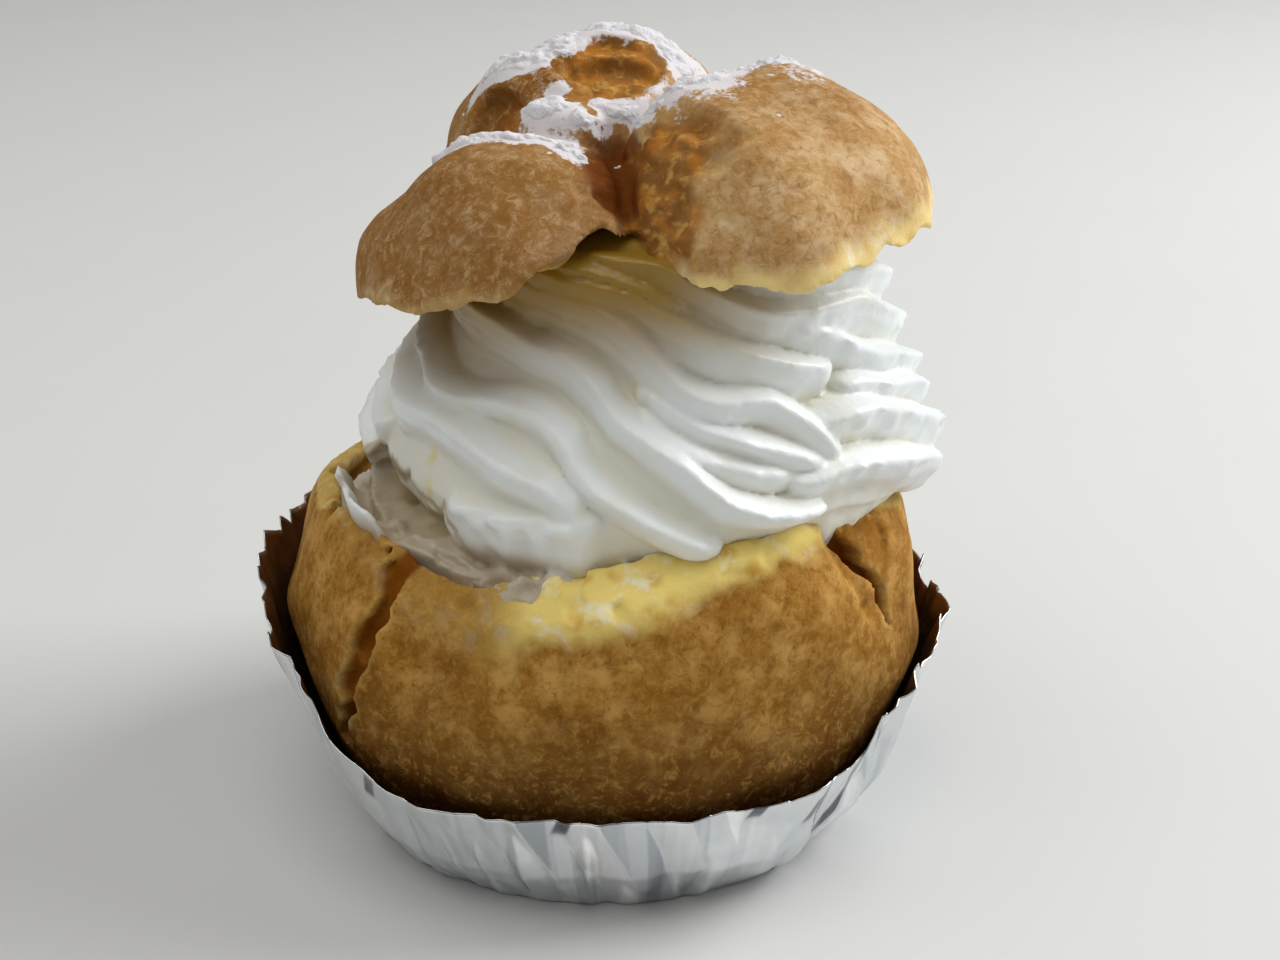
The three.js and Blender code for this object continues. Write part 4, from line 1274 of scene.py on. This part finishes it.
def crust_material(name, tones, blotches, dusted=False):
    """Baked choux: its skin, the moist crumb where it is cut, the amber crumb where it is torn, and
    painted shade in its cracks and crevice.
    """
    tones = {part: colour(*tone) for part, tone in tones.items()}
    look = Material(name, Roughness=0.72, Specular_IOR_Level=0.09, Subsurface_Weight=0.12)
    look.set(Subsurface_Radius=(1.0, 0.55, 0.25), Subsurface_Scale=1.2 * MM)
    fibres = look.noise(1.3, 6.0, distortion=0.6, rough=0.8)
    skin = crust_skin(look, tones, fibres, blotches)
    skin = look.mix(skin, moist_crumb(look, tones), look.marked("crumb"))
    skin = look.mix(skin, torn_crumb(look, tones), look.marked("torn"), 0.9)
    # Painted shade in the cracks and the crevice.
    skin = look.mix(skin, tones["deep_shade"], look.marked("deep_shade"), 0.92)
    if dusted:
        skin = look.mix(skin, colour(232, 230, 234), sugar_specks(look), 0.85)
        skin = look.mix(skin, colour(204, 168, 78), look.marked("inside"))
    look.set(Base_Color=skin)
    look.set(Normal=look.bump(fibres, 0.16, 0.9, look.bump(look.noise(2.4, 3.0), 0.2, 0.6)))
    return look.material


def base_material():
    return crust_material("choux_base_crust", BASE_TONES, blotches=0.55)


def lid_material():
    return crust_material("choux_lid_crust", LID_TONES, blotches=0.45, dusted=True)


def cream_material():
    """Whipped cream: white crests, painted shade in the valleys with a few yellow streaks, and the painted
    tint of what shades it.
    """
    look = Material("whipped_cream", Roughness=0.36, Specular_IOR_Level=0.5, Subsurface_Weight=0.15)
    look.set(Subsurface_Radius=(1.0, 0.8, 0.5), Subsurface_Scale=0.9 * MM)
    white = look.mix(colour(243, 248, 249), colour(240, 243, 237), look.ramp(look.noise(6, 2), 0.45, 0.7))
    # Painted shade in the valleys, with a few yellow streaks.
    valley_shade = look.mix(colour(234, 232, 219), colour(230, 212, 136), look.ramp(look.noise(5, 2), 0.6, 0.85))
    white = look.mix(white, valley_shade, look.marked("valley_shade"))
    look.set(Base_Color=look.mix(white, colour(152, 118, 34), look.marked("shade")))
    look.set(Normal=look.bump(look.noise(0.8, 3.0), 0.14, 0.6))
    return look.material


def sugar_material():
    look = Material("powdered_sugar", Roughness=0.9, Specular_IOR_Level=0.2, Subsurface_Weight=0.3)
    look.set(Subsurface_Radius=(1.0, 1.0, 1.0), Subsurface_Scale=0.6 * MM)
    look.set(Base_Color=look.mix(colour(234, 233, 238), colour(214, 209, 210), look.noise(1.5, 3)))
    look.set(Normal=look.bump(look.noise(0.35, 3.0), 0.25, 1.0))
    return look.material


def foil_material():
    """Bare foil: each panel painted darker or brighter by its slope as a painted reflection, and painted
    shade nearly black in the pinched folds.
    """
    look = Material("foil_outside", Metallic=1.0, Roughness=0.16)
    silver = look.mix(colour(224, 228, 230), colour(216, 220, 223), look.ramp(look.noise(4, 2), 0.4, 0.7))
    # Painted reflection: panels darker or brighter by their slope.
    silver = look.mix(silver, colour(168, 173, 179), look.ramp(look.marked("tone"), 0.4, 0.1))
    silver = look.mix(silver, colour(252, 253, 254), look.ramp(look.marked("tone"), 0.62, 0.9))
    # Painted shade, nearly black, in the pinched folds.
    look.set(Base_Color=look.mix(silver, colour(58, 60, 72), look.marked("fold_shade"), 0.85))
    look.set(Normal=look.bump(look.noise(1.4, 2.0, distortion=1.0), 0.05, 0.25))
    return look.material


def foil_inside_material():
    """The foil's inside, brown from the bun that it mirrors."""
    look = Material("foil_inside", Metallic=0.85, Roughness=0.38)
    brown = look.mix(colour(150, 116, 84), colour(112, 78, 48), look.ramp(look.noise(5, 2), 0.4, 0.7))
    look.set(Base_Color=brown)
    look.set(Normal=look.bump(look.noise(1.4, 2.0, distortion=1.0), 0.08, 0.4))
    return look.material


def floor_material():
    look = Material("floor", Roughness=0.6, Specular_IOR_Level=0.2)
    look.set(Base_Color=look.mix(colour(218, 218, 216), colour(215, 215, 213), look.noise(40, 2)))
    return look.material


# ---- Light, floor and camera ----

def area_light(name, place, size, power, tint):
    data = bpy.data.lights.new(name, "AREA")
    data.shape = "RECTANGLE"
    data.size, data.size_y = size
    data.energy = power
    data.color = tint
    lamp = bpy.data.objects.new(name, data)
    lamp.location = place
    bpy.context.scene.collection.objects.link(lamp)
    lamp.rotation_euler = (Vector(LIGHT_AIM) - Vector(place)).to_track_quat("-Z", "Y").to_euler()


def make_light():
    world = bpy.data.worlds.new("studio")
    world.use_nodes = True
    background = world.node_tree.nodes["Background"]
    background.inputs["Color"].default_value = (*ROOM_TINT, 1)
    background.inputs["Strength"].default_value = ROOM_STRENGTH
    bpy.context.scene.world = world
    area_light("window", (0.66, 0.2, 0.55), (0.5, 0.4), 6.1, WINDOW_TINT)
    area_light("ceiling", (-0.3, -0.2, 1.3), (1.2, 1.2), 7.6, ROOM_TINT)


def make_floor():
    size = FLOOR_HALF_SIZE
    corners = [(-size, -size, 0), (size, -size, 0), (size, size, 0), (-size, size, 0)]
    mesh = bpy.data.meshes.new("floor")
    mesh.from_pydata(corners, [], [(0, 1, 2, 3)])
    floor = bpy.data.objects.new("floor", mesh)
    bpy.context.scene.collection.objects.link(floor)
    mesh.materials.append(floor_material())


def make_camera():
    data = bpy.data.cameras.new("camera")
    data.lens = CAMERA_LENS
    data.sensor_width = SENSOR_WIDTH
    data.clip_start = 0.01
    camera = bpy.data.objects.new("camera", data)
    camera.location = [c * MM for c in CAMERA_PLACE]
    camera.rotation_euler = (math.radians(90 - CAMERA_PITCH), 0, 0)
    bpy.context.scene.collection.objects.link(camera)
    bpy.context.scene.camera = camera


# ---- The whole ----

def dress(piece, node, slot, *materials):
    """Gives a piece its materials and body, and puts it in place of its solid. The slot is not used."""
    for material in materials:
        piece.data.materials.append(material)
    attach(piece, "root")
    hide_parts(node)


def paint_inside(piece):
    """Gives the foil's inner faces their own material."""
    values = np.zeros(len(piece.data.vertices), np.float32)
    piece.data.attributes["inner"].data.foreach_get("value", values)
    for face in piece.data.polygons:
        face.material_index = int(all(values[v] > 0.5 for v in face.vertices))


bpy.context.scene.view_settings.view_transform = "Standard"
make_camera()
make_floor()
make_light()
foil = make_foil()
paint_inside(foil)
dress(foil, "foil_case", "foil", foil_material(), foil_inside_material())
dress(make_base(), "choux_base", "choux_crust", base_material())
dress(make_cream(), "whipped_cream", "cream", cream_material())
dress(make_lid(), "choux_lid", "lid_crust", lid_material())
sugar = make_sugar()
sugar.data.materials.append(sugar_material())
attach(sugar, "root")
